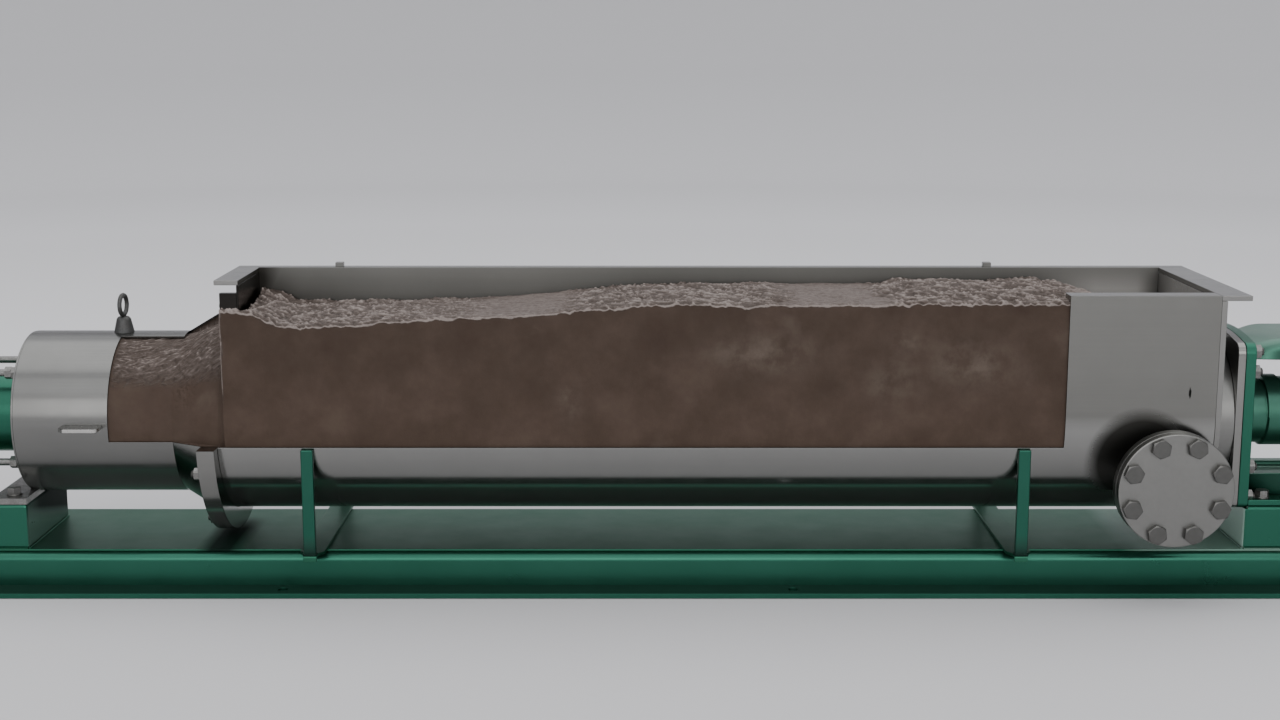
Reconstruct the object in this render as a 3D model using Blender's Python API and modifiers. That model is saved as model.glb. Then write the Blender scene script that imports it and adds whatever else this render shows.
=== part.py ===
"""Sludge cake pump with an open hopper, cut open to show the cake inside.

Units are metres, +Z is up and the pump's axis runs along X. The origin is on
the underside of the base, at the middle of its length and width.
The near side is -Y: there the hopper, cone and chamber are cut open.
"""
from math import asin, cos, hypot, pi, radians, sin, sqrt

import bmesh
import bpy
from mathutils import Matrix, Vector

# Clearance kept between two touching pieces
GAP = 0.0003
WELD = 0.00005

# Base frame
BASE_LENGTH = 3.90
AXIS_HEIGHT = 0.327
DECK_TOP = 0.078
DECK_THICKNESS = 0.0042
DECK_HALF_WIDTH = 0.153
RAIL_FACE = 0.168
RAIL_RADIUS = 0.016
RAIL_SHEET = 0.006
FOOT_EDGE = 0.226
FOOT_THICKNESS = 0.0095
FOOT_HOLE_RADIUS = 0.010
FOOT_HOLE_X = (-1.5, -0.5, 0.5, 1.5)
CROSS_TIE_X = (("left", -0.98), ("middle", 0.0), ("right", 0.98))
CROSS_TIE_WIDTH = 0.06

# Hopper: a U-shaped trough with a flat rim
HOPPER_LEFT = -0.610
HOPPER_RIGHT = 1.303
TROUGH_RADIUS = 0.214
TROUGH_HEIGHT = AXIS_HEIGHT + 0.019
TROUGH_WALL = 0.0045
RIM_TOP = AXIS_HEIGHT + 0.2657
RIM_THICKNESS = 0.010
RIM_FAR_WIDTH = 0.032
RIM_NEAR_WIDTH = 0.045
RIM_LEFT_WIDTH = 0.049
RIM_RIGHT_WIDTH = 0.058
LEFT_END_WALL = 0.004
RIGHT_END_WALL = 0.011
RIM_LUG_X = (-0.4415, 0.9405)
RIM_LUG_SIZE = (0.017, 0.017, 0.009)

# The openings cut in the near side
CUT_LEVEL = AXIS_HEIGHT - 0.031
CUT_PLANE = 0.003
WINDOW_RIGHT = 1.016
CHAMBER_WINDOW_LEFT = -0.8375

# Cone, chamber and their flanges
RING_RADIUS = 0.240
RING_THICKNESS = 0.017
RING_RIGHT_FACE = HOPPER_LEFT - LEFT_END_WALL - GAP
CONE_LARGE_RADIUS = 0.200
CHAMBER_RADIUS = 0.1625
CHAMBER_WALL = 0.004
CHAMBER_LEFT = -1.022
CHAMBER_RIGHT = -0.712
END_CAP_THICKNESS = 0.004
END_BOSS_RADIUS = 0.138
END_BOSS_THICKNESS = 0.004
LUG_LEFT = -0.926
LUG_RIGHT = -0.848
LUG_REACH = 0.200
LUG_THICKNESS = 0.0075
EYE_X = -0.842

# Stator, tie rods and outlet
STATOR_RADIUS = 0.083
STATOR_LENGTH = 0.745
ROD_RADIUS = 0.0073
ROD_SPREAD = 0.073
ROD_RISE = 0.091
NUT_ACROSS_CORNERS = 0.0264
NUT_HEIGHT = 0.014
WASHER_RADIUS = 0.0145
WASHER_THICKNESS = 0.003
OUTLET_PLATE_THICKNESS = 0.014
OUTLET_PIPE_RADIUS = 0.0841
OUTLET_BORE_RADIUS = 0.0780
OUTLET_FLANGE_RADIUS = 0.1425
OUTLET_FLANGE_THICKNESS = 0.020
OUTLET_LENGTH = 0.150

# Clean-out port
PORT_X = 1.213
PORT_DROP = 0.096
PORT_NECK_RADIUS = 0.057
PORT_BORE_RADIUS = 0.052
PORT_FLANGE_RADIUS = 0.110
PORT_FLANGE_THICKNESS = 0.020
PORT_FACE = 0.289
PORT_BOLT_CIRCLE = 0.090
PORT_BOLT_ACROSS = 0.0346
PORT_BOLT_HEAD = 0.0125
PORT_BOLTS = 8

# Drive side
COLLAR_RADIUS = 0.150
PLATE_HALF_WIDTH = 0.150
PLATE_TOP = 0.175
PLATE_SHOULDER = 0.163
PLATE_BOTTOM = 0.167
PLATE_CORNER = 0.022
END_FLANGE_LEFT = 1.362
END_FLANGE_RIGHT = 1.3775
LANTERN_FRONT_RIGHT = 1.398
LANTERN_REAR_LEFT = 1.630
LANTERN_REAR_RIGHT = 1.648
BRIDGE_ROUND_RADIUS = 0.155
BRIDGE_SQUARE_HALF_WIDTH = 0.105
BRIDGE_SQUARE_TOP = 0.165
BRIDGE_CORNER = 0.022
BRIDGE_WALL = 0.024
BRIDGE_FLARE_END = 1.485
WINDOW_TOP = 0.1225
WINDOW_BOTTOM_NEAR = 0.106
WINDOW_BOTTOM_FAR = 0.125
STUFFING_FLANGE_RADIUS = 0.0785
STUFFING_FLANGE_RIGHT = 1.424
STUFFING_RADIUS = 0.070
STUFFING_NECK_RADIUS = 0.065
STUFFING_RIGHT = 1.566
STUFFING_CAP_RADIUS = 0.0745
STUFFING_CAP = (1.456, 1.487)
GLAND_RADIUS = 0.052
GLAND_RIGHT = 1.590
SHAFT_RADIUS = 0.030
SHAFT_END = 1.960
BEARING_RADIUS = 0.105
BEARING_LEFT = LANTERN_REAR_RIGHT + GAP
BEARING_RIGHT = 1.850
COVER_RADIUS = 0.088
COVER_THICKNESS = 0.016

# Pedestals on the deck and the foot plates they carry
PEDESTAL_HALF_WIDTH = 0.153
CHAMBER_PEDESTAL_FAR = 0.098
PEDESTAL_TOP = AXIS_HEIGHT - 0.158
RIGHT_PEDESTAL_TOP = AXIS_HEIGHT - 0.162
FOOT_PLATE_THICKNESS = 0.012

# Trough supports
SUPPORT_X = (("left", -0.4415), ("right", 0.9405))
BAR_HALF_WIDTH = 0.0245
BAR_THICKNESS = 0.006
BAR_REACH = 0.217
BAR_TAPER_START = 0.186
BAR_TIP_HALF_WIDTH = 0.013
BAR_LIP = 0.014
POST_WIDTH = 0.024
POST_THICKNESS = 0.012
POST_TOP = AXIS_HEIGHT - 0.0335
POST_PAD_HEIGHT = 0.030

# Sludge cake: along the hopper, the height above the axis at the near and far side
SLUDGE_CLEARANCE = 0.0005
SLUDGE_LEFT = -0.600
SLUDGE_TOP = (
    (-0.600, 0.230, 0.210),
    (-0.555, 0.218, 0.210),
    (-0.500, 0.206, 0.199),
    (-0.420, 0.204, 0.194),
    (-0.300, 0.212, 0.201),
    (-0.100, 0.223, 0.210),
    (0.120, 0.233, 0.222),
    (0.320, 0.243, 0.230),
    (0.620, 0.247, 0.234),
    (0.900, 0.250, 0.235),
    (1.060, 0.246, 0.234),
    (1.170, 0.234, 0.225),
    (1.3025, 0.224, 0.218),
)

ROUND_STEPS = 48
SMALL_STEPS = 32


def clear_scene():
    """Remove every object that a new file starts with."""
    for obj in list(bpy.data.objects):
        bpy.data.objects.remove(obj, do_unlink=True)


def make_collection(name):
    collection = bpy.data.collections.new(name)
    bpy.context.scene.collection.children.link(collection)
    return collection


def make_material(name, colour, roughness, metallic):
    """One Principled finish."""
    material = bpy.data.materials.new(name)
    material.use_nodes = True
    shader = material.node_tree.nodes["Principled BSDF"]
    shader.inputs["Base Color"].default_value = (*colour, 1.0)
    shader.inputs["Roughness"].default_value = roughness
    shader.inputs["Metallic"].default_value = metallic
    return material


clear_scene()
PARTS = make_collection("sludge_cake_pump")
CUTTERS = make_collection("cutters")


def finish(obj, material=None):
    """Link a part into the pump's collection and give it a finish of its own."""
    PARTS.objects.link(obj)
    if material is not None:
        own = material.copy()
        own.name = obj.name
        obj.data.materials.append(own)
    return obj


def cutter(obj):
    """Keep an object as a cutting shape that is never rendered."""
    CUTTERS.objects.link(obj)
    obj.hide_render = True
    obj.display_type = "WIRE"
    return obj


def mesh_object(name, bm):
    mesh = bpy.data.meshes.new(name)
    bmesh.ops.recalc_face_normals(bm, faces=bm.faces)
    bm.to_mesh(mesh)
    bm.free()
    return bpy.data.objects.new(name, mesh)


def box(name, low, high):
    """A block between two corners."""
    bm = bmesh.new()
    bmesh.ops.create_cube(bm, size=1.0)
    size = [b - a for a, b in zip(low, high)]
    middle = [(a + b) / 2 for a, b in zip(low, high)]
    bmesh.ops.scale(bm, vec=size, verts=bm.verts)
    bmesh.ops.translate(bm, vec=middle, verts=bm.verts)
    return mesh_object(name, bm)


def bevel(obj, width, segments=2):
    """Round the sharp edges of a block."""
    modifier = obj.modifiers.new("rounded edges", "BEVEL")
    modifier.width = width
    modifier.segments = segments
    modifier.limit_method = "ANGLE"
    return obj


AXES = {
    "X": Matrix.Rotation(pi / 2, 4, "Y"),
    "Y": Matrix.Rotation(-pi / 2, 4, "X"),
    "Z": Matrix.Identity(4),
}


def prism(name, centre, radius, length, axis="X", sides=6, turn=0.0):
    """A straight prism with round or many-sided ends, starting at centre and running along the axis."""
    bm = bmesh.new()
    place = Matrix.Translation(Vector(centre)) @ AXES[axis]
    place = place @ Matrix.Rotation(turn, 4, "Z") @ Matrix.Translation((0, 0, length / 2))
    bmesh.ops.create_cone(
        bm, cap_ends=True, segments=sides, radius1=radius, radius2=radius, depth=length, matrix=place
    )
    return mesh_object(name, bm)


def turned(name, profile, axis="X", centre=(0.0, 0.0, AXIS_HEIGHT), steps=ROUND_STEPS, closed=False):
    """Turn a profile of (distance along the axis, radius) pairs about the axis.

    An open profile starts and ends on the axis. A closed one is the section of a ring.
    The profile lies at +X of the local turning axis and its outer side runs top to bottom.
    """
    mesh = bpy.data.meshes.new(name)
    points = [(radius, 0.0, along) for along, radius in profile]
    edges = [(i, i + 1) for i in range(len(points) - 1)]
    if closed:
        edges.append((len(points) - 1, 0))
    mesh.from_pydata(points, edges, [])
    obj = bpy.data.objects.new(name, mesh)
    screw = obj.modifiers.new("turned", "SCREW")
    screw.steps = steps
    screw.render_steps = steps
    screw.use_merge_vertices = True
    screw.merge_threshold = WELD
    screw.use_smooth_shade = True
    obj.matrix_world = Matrix.Translation(Vector(centre)) @ AXES[axis]
    return obj


def sheet(name, loops, thickness, place):
    """A flat outline, with any holes as further loops, extruded to a thickness along local Z."""
    curve = bpy.data.curves.new(name, "CURVE")
    curve.dimensions = "2D"
    curve.fill_mode = "BOTH"
    curve.extrude = thickness / 2
    curve.resolution_u = 1
    curve.render_resolution_u = 0
    for loop in loops:
        spline = curve.splines.new("POLY")
        spline.points.add(len(loop) - 1)
        for point, (x, y) in zip(spline.points, loop):
            point.co = (x, y, 0.0, 1.0)
        spline.use_cyclic_u = True
    obj = bpy.data.objects.new(name, curve)
    obj.matrix_world = place
    return obj


ACROSS = Matrix(((0, 0, 1, 0), (1, 0, 0, 0), (0, 1, 0, 0), (0, 0, 0, 1)))


def section(name, loops, x_low, x_high):
    """A (Y, Z) outline carried along X."""
    place = Matrix.Translation(((x_low + x_high) / 2, 0, 0)) @ ACROSS
    return sheet(name, loops, x_high - x_low, place)


def plan(name, loops, z_low, z_high):
    """An (X, Y) outline carried up Z."""
    return sheet(name, loops, z_high - z_low, Matrix.Translation((0, 0, (z_low + z_high) / 2)))


def as_mesh(obj):
    """Turn a flat outline into a mesh with its caps welded, so that it can be cut or joined."""
    scratch = bpy.context.scene.collection
    scratch.objects.link(obj)
    bpy.context.view_layer.update()
    source = obj.evaluated_get(bpy.context.evaluated_depsgraph_get())
    mesh = bpy.data.meshes.new_from_object(source)
    bm = bmesh.new()
    bm.from_mesh(mesh)
    bmesh.ops.remove_doubles(bm, verts=bm.verts, dist=WELD)
    bm.to_mesh(mesh)
    bm.free()
    name = obj.name
    place = obj.matrix_world.copy()
    bpy.data.objects.remove(obj, do_unlink=True)
    made = bpy.data.objects.new(name, mesh)
    made.matrix_world = place
    return made


def boolean(obj, other, operation):
    modifier = obj.modifiers.new(operation.lower() + " " + other.name, "BOOLEAN")
    modifier.operation = operation
    modifier.solver = "EXACT"
    modifier.object = cutter(other)
    return obj


def cut(obj, other):
    return boolean(obj, other, "DIFFERENCE")


def join(obj, other):
    return boolean(obj, other, "UNION")


def arc(centre, radius, start, end, count):
    """Points on an arc in the plane, from one angle to another."""
    angles = [start + (end - start) * i / count for i in range(count + 1)]
    return [(centre[0] + radius * cos(a), centre[1] + radius * sin(a)) for a in angles]


def near_window(name, x_low, x_high):
    """The volume taken away on the near side, above the cut level."""
    return box(name, (x_low, -0.4, CUT_LEVEL), (x_high, CUT_PLANE, AXIS_HEIGHT + 0.4))


GREEN = make_material("green enamel", (0.012, 0.085, 0.062), 0.35, 0.0)
STEEL = make_material("stainless steel", (0.46, 0.45, 0.43), 0.38, 1.0)
ZINC = make_material("zinc-plated steel", (0.52, 0.51, 0.49), 0.45, 1.0)
CAKE = make_material("sludge cake", (0.075, 0.052, 0.040), 0.6, 0.0)


def deck_plate():
    """The flat plate that closes the top of the base."""
    half = BASE_LENGTH / 2
    low = (-half, -DECK_HALF_WIDTH, DECK_TOP - DECK_THICKNESS)
    finish(box("deck_plate", low, (half, DECK_HALF_WIDTH, DECK_TOP)), GREEN)


def rail_outline(side):
    """A folded rail: a lip under the deck, a rounded shoulder, an upright web and a foot turned out."""
    lip_top = DECK_TOP - DECK_THICKNESS - GAP
    lip_end = DECK_HALF_WIDTH - 0.035
    bend = (RAIL_FACE - RAIL_RADIUS, lip_top - RAIL_RADIUS)
    outer = arc(bend, RAIL_RADIUS, pi / 2, 0.0, 6)
    inner = arc(bend, RAIL_RADIUS - RAIL_SHEET, 0.0, pi / 2, 4)
    inside = RAIL_FACE - RAIL_SHEET
    points = [(lip_end, lip_top), *outer, (RAIL_FACE, FOOT_THICKNESS), (FOOT_EDGE, FOOT_THICKNESS)]
    points += [(FOOT_EDGE, 0.0), (inside, 0.0), *inner, (lip_end, lip_top - RAIL_SHEET)]
    return [(side * y, z) for y, z in points]


def base_rails():
    """The two long sides of the base, with the foundation holes in their feet."""
    half = BASE_LENGTH / 2
    hole_y = (RAIL_FACE + FOOT_EDGE) / 2
    for name, side in (("base_rail_near", -1), ("base_rail_far", 1)):
        rail = as_mesh(section(name, [rail_outline(side)], -half, half))
        for i, x in enumerate(FOOT_HOLE_X):
            hole = prism(f"{name}_hole_{i}", (x, side * hole_y, -0.01), FOOT_HOLE_RADIUS, 0.04, "Z", 16)
            cut(rail, hole)
        finish(rail, GREEN)


def base_ends():
    """Plates that close both ends of the base between the rails."""
    half = BASE_LENGTH / 2
    reach = RAIL_FACE - RAIL_SHEET - GAP
    top = DECK_TOP - DECK_THICKNESS - GAP - RAIL_SHEET - GAP
    for name, x in (("base_end_left", -half), ("base_end_right", half - RAIL_SHEET)):
        outline = [(-reach, 0.0), (reach, 0.0), (reach, top - 0.012), (reach - 0.012, top)]
        outline += [(-reach + 0.012, top), (-reach, top - 0.012)]
        finish(section(name, [outline], x, x + RAIL_SHEET), GREEN)


def base_cross_ties():
    """Inverted T bars across the base, under the deck."""
    reach = RAIL_FACE - RAIL_SHEET - GAP
    top = DECK_TOP - DECK_THICKNESS - GAP - RAIL_SHEET - GAP
    half = CROSS_TIE_WIDTH / 2
    web = RAIL_SHEET / 2
    inset = 0.012
    for name, x in CROSS_TIE_X:
        foot = box(f"base_tie_{name}", (x - half, -reach, 0.0), (x + half, reach, FOOT_THICKNESS))
        upright = box(f"tie_web_{name}", (x - web, -reach + inset, 0.001), (x + web, reach - inset, top))
        finish(join(foot, upright), GREEN)


def pedestal(name, x_low, x_high, top, cutters=(), far_side=PEDESTAL_HALF_WIDTH):
    """A box welded on the deck that carries a foot plate."""
    low = (x_low, -PEDESTAL_HALF_WIDTH, DECK_TOP + GAP)
    block = box(name, low, (x_high, far_side, top - GAP))
    bevel(block, 0.006)
    for other in cutters:
        cut(block, other)
    return finish(block, GREEN)


def round_clearance(name, x_low, x_high, radius, height=AXIS_HEIGHT):
    """A cylinder along the pump that makes room for a round piece: its flats touch the radius."""
    centre = (x_low, 0.0, height)
    return prism(name, centre, radius / cos(pi / ROUND_STEPS), x_high - x_low, "X", ROUND_STEPS)


def chamber_supports():
    """The pedestal and the flat foot under the chamber's left end."""
    left, right = -1.100, -1.008
    plate_left = -1.077
    room = CHAMBER_RADIUS + GAP
    saddle = round_clearance("chamber_saddle", CHAMBER_LEFT - 0.006, right + 0.02, room)
    foot_saddle = round_clearance("chamber_foot_saddle", CHAMBER_LEFT - 0.006, right + 0.02, room)
    pedestal("chamber_pedestal", left, right, PEDESTAL_TOP, [saddle], CHAMBER_PEDESTAL_FAR)
    top = PEDESTAL_TOP + FOOT_PLATE_THICKNESS
    plate = box("chamber_foot", (plate_left, -PEDESTAL_HALF_WIDTH, PEDESTAL_TOP), (right, PEDESTAL_HALF_WIDTH, top))
    finish(cut(plate, foot_saddle), ZINC)


def lantern_supports():
    """The pedestal under the lantern, notched for the flanges, and the lantern's two feet."""
    left, right = 1.391, 1.560
    notch_low = (left - 0.01, -0.2, AXIS_HEIGHT - PLATE_BOTTOM - GAP)
    notch = box("flange_notch", notch_low, (LANTERN_FRONT_RIGHT + GAP, 0.2, AXIS_HEIGHT))
    pedestal("lantern_pedestal", left, right, RIGHT_PEDESTAL_TOP, [notch])
    inner = BRIDGE_SQUARE_HALF_WIDTH + GAP
    for name, side in (("near", -1), ("far", 1)):
        y_low, y_high = sorted((side * inner, side * 0.148))
        foot_low = (LANTERN_FRONT_RIGHT + GAP, y_low, RIGHT_PEDESTAL_TOP)
        foot_high = (right - 0.02, y_high, RIGHT_PEDESTAL_TOP + FOOT_PLATE_THICKNESS)
        finish(box(f"lantern_foot_{name}", foot_low, foot_high), GREEN)


def cross_bars():
    """A flat bar across the deck under each pair of posts, tapered to a turned-down tip."""
    low = DECK_TOP + GAP
    for name, x in SUPPORT_X:
        half = [(BAR_HALF_WIDTH, 0.0), (BAR_HALF_WIDTH, BAR_TAPER_START), (BAR_TIP_HALF_WIDTH, 0.205)]
        half.append((BAR_TIP_HALF_WIDTH, BAR_REACH))
        quarter = half[1:]
        outline = [(x + a, b) for a, b in quarter] + [(x - a, b) for a, b in reversed(quarter)]
        outline += [(x - a, -b) for a, b in quarter] + [(x + a, -b) for a, b in reversed(quarter)]
        bar = as_mesh(plan(f"cross_bar_{name}", [outline], low, low + BAR_THICKNESS))
        for side in (-1, 1):
            tip = sorted((side * BAR_REACH, side * (BAR_REACH - BAR_THICKNESS)))
            lip_low = (x - BAR_TIP_HALF_WIDTH, tip[0], low + BAR_THICKNESS - BAR_LIP)
            lip_high = (x + BAR_TIP_HALF_WIDTH, tip[1], low + BAR_THICKNESS - 0.001)
            join(bar, box(f"lip_{name}_{side}", lip_low, lip_high))
        finish(bar, GREEN)


def support_posts():
    """Four upright flats that hold the trough, each with a pad shaped to the trough's side."""
    foot = DECK_TOP + 2 * GAP + BAR_THICKNESS
    face = BAR_REACH
    back = BAR_REACH - POST_THICKNESS
    pad_low = POST_TOP - POST_PAD_HEIGHT
    clear = TROUGH_RADIUS + 0.0006
    pad = []
    for i in range(5):
        z = pad_low + POST_PAD_HEIGHT * i / 4
        pad.append((sqrt(clear ** 2 - (z - TROUGH_HEIGHT) ** 2), z))
    outline = [(face, foot), (back, foot), (back, pad_low), *pad, (face, POST_TOP)]
    for name, x in SUPPORT_X:
        for side_name, side in (("near", -1), ("far", 1)):
            loop = [(side * y, z) for y, z in outline]
            post = section(f"post_{name}_{side_name}", [loop], x - POST_WIDTH / 2, x + POST_WIDTH / 2)
            finish(post, GREEN)


def trough_bottom():
    """The half-round bottom of the hopper, open above the cut level on the near side."""
    inner = TROUGH_RADIUS - TROUGH_WALL
    drop = TROUGH_HEIGHT - CUT_LEVEL
    centre = (0.0, TROUGH_HEIGHT)
    steps = 36
    outer_start = pi + asin(drop / TROUGH_RADIUS)
    inner_start = pi + asin(drop / inner)
    loop = arc(centre, TROUGH_RADIUS, outer_start, 2 * pi, steps)
    loop += arc(centre, inner, 2 * pi, inner_start, steps)
    finish(section("trough_bottom", [loop], HOPPER_LEFT - LEFT_END_WALL, HOPPER_RIGHT), STEEL)


def trough_walls():
    """The flat far wall, and the near wall that is left at the right-hand end."""
    inner = TROUGH_RADIUS - TROUGH_WALL
    top = RIM_TOP - RIM_THICKNESS - GAP
    bottom = TROUGH_HEIGHT + GAP
    far = box("hopper_wall_far", (HOPPER_LEFT - LEFT_END_WALL, inner, bottom), (HOPPER_RIGHT, TROUGH_RADIUS, top))
    finish(far, STEEL)
    low = CUT_LEVEL + GAP - TROUGH_HEIGHT
    outer_points = []
    inner_points = []
    for i in range(5):
        z = low * (1 - i / 4)
        outer_points.append((-sqrt(TROUGH_RADIUS ** 2 - z ** 2), TROUGH_HEIGHT + z))
        inner_points.append((-sqrt(inner ** 2 - z ** 2), TROUGH_HEIGHT + z))
    loop = [*outer_points, (-TROUGH_RADIUS, top), (-inner, top), *reversed(inner_points)]
    finish(section("hopper_wall_near", [loop], WINDOW_RIGHT, HOPPER_RIGHT), STEEL)


def hopper_ends():
    """The end walls: the left one ends at the section plane, the right one is whole."""
    top = RIM_TOP - RIM_THICKNESS - GAP
    inner = TROUGH_RADIUS - TROUGH_WALL - GAP
    bore = CONE_LARGE_RADIUS - CHAMBER_WALL - 0.002
    start = pi / 2 - asin(CUT_PLANE / bore)
    loop = [(inner, AXIS_HEIGHT + 0.02), (inner, top), (CUT_PLANE, top)]
    loop += arc((0.0, AXIS_HEIGHT), bore, start, asin(0.02 / bore), 12)
    finish(section("hopper_end_left", [loop], HOPPER_LEFT - LEFT_END_WALL, HOPPER_LEFT), STEEL)
    bottom = arc((0.0, TROUGH_HEIGHT), TROUGH_RADIUS, pi, 2 * pi, 32)
    outline = [(-TROUGH_RADIUS, top), *bottom, (TROUGH_RADIUS, top)]
    right = HOPPER_RIGHT + GAP
    finish(section("hopper_end_right", [outline], right, right + RIGHT_END_WALL), STEEL)


def hopper_rim():
    """Flat bars round the hopper's mouth, with two small lugs on the far one."""
    low = RIM_TOP - RIM_THICKNESS
    inner = TROUGH_RADIUS - TROUGH_WALL
    left = HOPPER_LEFT - RIM_LEFT_WIDTH
    right = HOPPER_RIGHT + RIM_RIGHT_WIDTH
    far = box("rim_far", (left, inner, low), (right, inner + RIM_FAR_WIDTH, RIM_TOP))
    for i, x in enumerate(RIM_LUG_X):
        y = inner + RIM_FAR_WIDTH - 0.020
        lug_low = (x - RIM_LUG_SIZE[0] / 2, y, RIM_TOP - 0.001)
        lug_high = (x + RIM_LUG_SIZE[0] / 2, y + RIM_LUG_SIZE[1], RIM_TOP + RIM_LUG_SIZE[2])
        join(far, box(f"rim_lug_{i}", lug_low, lug_high))
    finish(far, STEEL)
    finish(box("rim_left", (left, CUT_PLANE, low), (HOPPER_LEFT, inner - GAP, RIM_TOP)), STEEL)
    finish(box("rim_right", (HOPPER_RIGHT, -TROUGH_RADIUS, low), (right, inner - GAP, RIM_TOP)), STEEL)
    near_inner = -TROUGH_RADIUS + RIM_NEAR_WIDTH
    near = box("rim_near", (WINDOW_RIGHT, -TROUGH_RADIUS, low), (HOPPER_RIGHT - GAP, near_inner, RIM_TOP))
    finish(near, STEEL)


def ring_flanges():
    """The bolted pair of rings between cone and hopper, open on the near side above the cut level."""
    bore = CONE_LARGE_RADIUS - CHAMBER_WALL
    right = RING_RIGHT_FACE
    for name in ("ring_flange_hopper", "ring_flange_cone"):
        left = right - RING_THICKNESS
        loop = [(right, RING_RADIUS), (left, RING_RADIUS), (left, bore), (right, bore)]
        ring = turned(name, loop, closed=True, steps=64)
        cut(ring, near_window(name + "_window", left - 0.01, right + 0.01))
        finish(ring, STEEL)
        right = left - GAP
    return right


def cone_and_chamber(cone_right):
    """The cone and the chamber pipe behind it, with the same opening as the flanges."""
    wall = CHAMBER_WALL
    large = CONE_LARGE_RADIUS
    small = CHAMBER_RADIUS
    left = CHAMBER_RIGHT + GAP
    loop = [(cone_right, large), (left, small), (left, small - wall), (cone_right, large - wall)]
    cone = turned("cone", loop, closed=True)
    cut(cone, near_window("cone_window", left - 0.01, cone_right + 0.01))
    finish(cone, STEEL)
    loop = [(CHAMBER_RIGHT, small), (CHAMBER_LEFT, small), (CHAMBER_LEFT, small - wall), (CHAMBER_RIGHT, small - wall)]
    chamber = turned("chamber", loop, closed=True)
    cut(chamber, near_window("chamber_window", CHAMBER_WINDOW_LEFT, CHAMBER_RIGHT + 0.01))
    finish(chamber, STEEL)


def chamber_lugs():
    """A flat lug welded to each side of the chamber, level with the axis."""
    inner = sqrt(CHAMBER_RADIUS ** 2 - (LUG_THICKNESS / 2) ** 2) + GAP * 2
    low = AXIS_HEIGHT - LUG_THICKNESS / 2
    chamfer = 0.012
    for name, side in (("chamber_lug_near", -1), ("chamber_lug_far", 1)):
        loop = [(LUG_LEFT, inner), (LUG_RIGHT, inner), (LUG_RIGHT, LUG_REACH - 0.004), (LUG_RIGHT - 0.004, LUG_REACH)]
        loop += [(LUG_LEFT + chamfer, LUG_REACH), (LUG_LEFT, LUG_REACH - chamfer)]
        loop = [(x, side * y) for x, y in loop]
        finish(plan(name, [loop], low, low + LUG_THICKNESS), STEEL)


def lifting_eye():
    """A ring on a tapered foot, standing on the chamber."""
    crown = AXIS_HEIGHT + CHAMBER_RADIUS
    profile = [(0.031, 0.0), (0.031, 0.010), (0.0265, 0.014), (0.0, 0.020), (-0.010, 0.020), (-0.010, 0.0)]
    eye = turned("lifting_eye", profile, "Z", (EYE_X, 0.0, crown), 24)
    bm = bmesh.new()
    ring_radius, bar_radius = 0.0197, 0.0047
    mesh = bpy.data.meshes.new("eye_ring")
    round_count, bar_count = 28, 8
    rings = []
    for i in range(round_count):
        turn = Matrix.Rotation(2 * pi * i / round_count, 4, "X")
        loop = []
        for j in range(bar_count):
            a = 2 * pi * j / bar_count
            point = Vector((bar_radius * sin(a), 0.0, ring_radius + bar_radius * cos(a)))
            loop.append(bm.verts.new(turn @ point))
        rings.append(loop)
    for i in range(round_count):
        first, second = rings[i], rings[(i + 1) % round_count]
        for j in range(bar_count):
            k = (j + 1) % bar_count
            bm.faces.new((first[j], second[j], second[k], first[k]))
    bmesh.ops.recalc_face_normals(bm, faces=bm.faces)
    bm.to_mesh(mesh)
    bm.free()
    ring = bpy.data.objects.new("eye_ring", mesh)
    swing = Matrix.Rotation(radians(-5), 4, "Z")
    ring.matrix_world = Matrix.Translation((EYE_X, 0.0, crown + 0.0541)) @ swing
    join(eye, ring)
    cut(eye, round_clearance("eye_seat", EYE_X - 0.05, EYE_X + 0.05, CHAMBER_RADIUS + GAP))
    finish(eye, ZINC)


def chamber_end():
    """The cap and boss that close the chamber and hold the tie rods."""
    right = CHAMBER_LEFT - GAP
    cap = right - END_CAP_THICKNESS
    boss = cap - END_BOSS_THICKNESS
    rim = CHAMBER_RADIUS - 0.0006
    profile = [(right, 0.0), (right, rim), (cap, rim), (cap, END_BOSS_RADIUS), (boss, END_BOSS_RADIUS), (boss, 0.0)]
    finish(turned("chamber_end_cap", profile), STEEL)
    return boss


def stator_and_rods(right_face):
    """The stator tube between the two end plates and the four tie rods that clamp it."""
    right = right_face - GAP
    left = right - STATOR_LENGTH
    profile = [(right, 0.0), (right, STATOR_RADIUS), (left, STATOR_RADIUS), (left, 0.0)]
    finish(turned("stator", profile), GREEN)
    corners = {"near_top": (-1, 1), "far_top": (1, 1), "far_bottom": (1, -1), "near_bottom": (-1, -1)}
    overlap = 0.0005
    for name, (side, level) in corners.items():
        y = side * ROD_SPREAD
        z = AXIS_HEIGHT + level * ROD_RISE
        rod = prism(f"tie_rod_{name}", (left, y, z), ROD_RADIUS, right - left, "X", 16)
        washer_right = right - WASHER_THICKNESS
        nut_right = washer_right - NUT_HEIGHT + overlap
        stack = (
            ("washer_left", left, WASHER_RADIUS, WASHER_THICKNESS, 24),
            ("nut_left", left + WASHER_THICKNESS - overlap, NUT_ACROSS_CORNERS / 2, NUT_HEIGHT, 6),
            ("lock_nut", nut_right - NUT_HEIGHT, NUT_ACROSS_CORNERS / 2 - 0.0006, NUT_HEIGHT + overlap, 6),
            ("nut_right", nut_right, NUT_ACROSS_CORNERS / 2, NUT_HEIGHT, 6),
            ("washer_right", washer_right, WASHER_RADIUS, WASHER_THICKNESS, 24),
        )
        for piece, start, radius, length, sides in stack:
            join(rod, prism(f"{piece}_{name}", (start, y, z), radius, length, "X", sides))
        finish(rod, ZINC)
    return left


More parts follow.
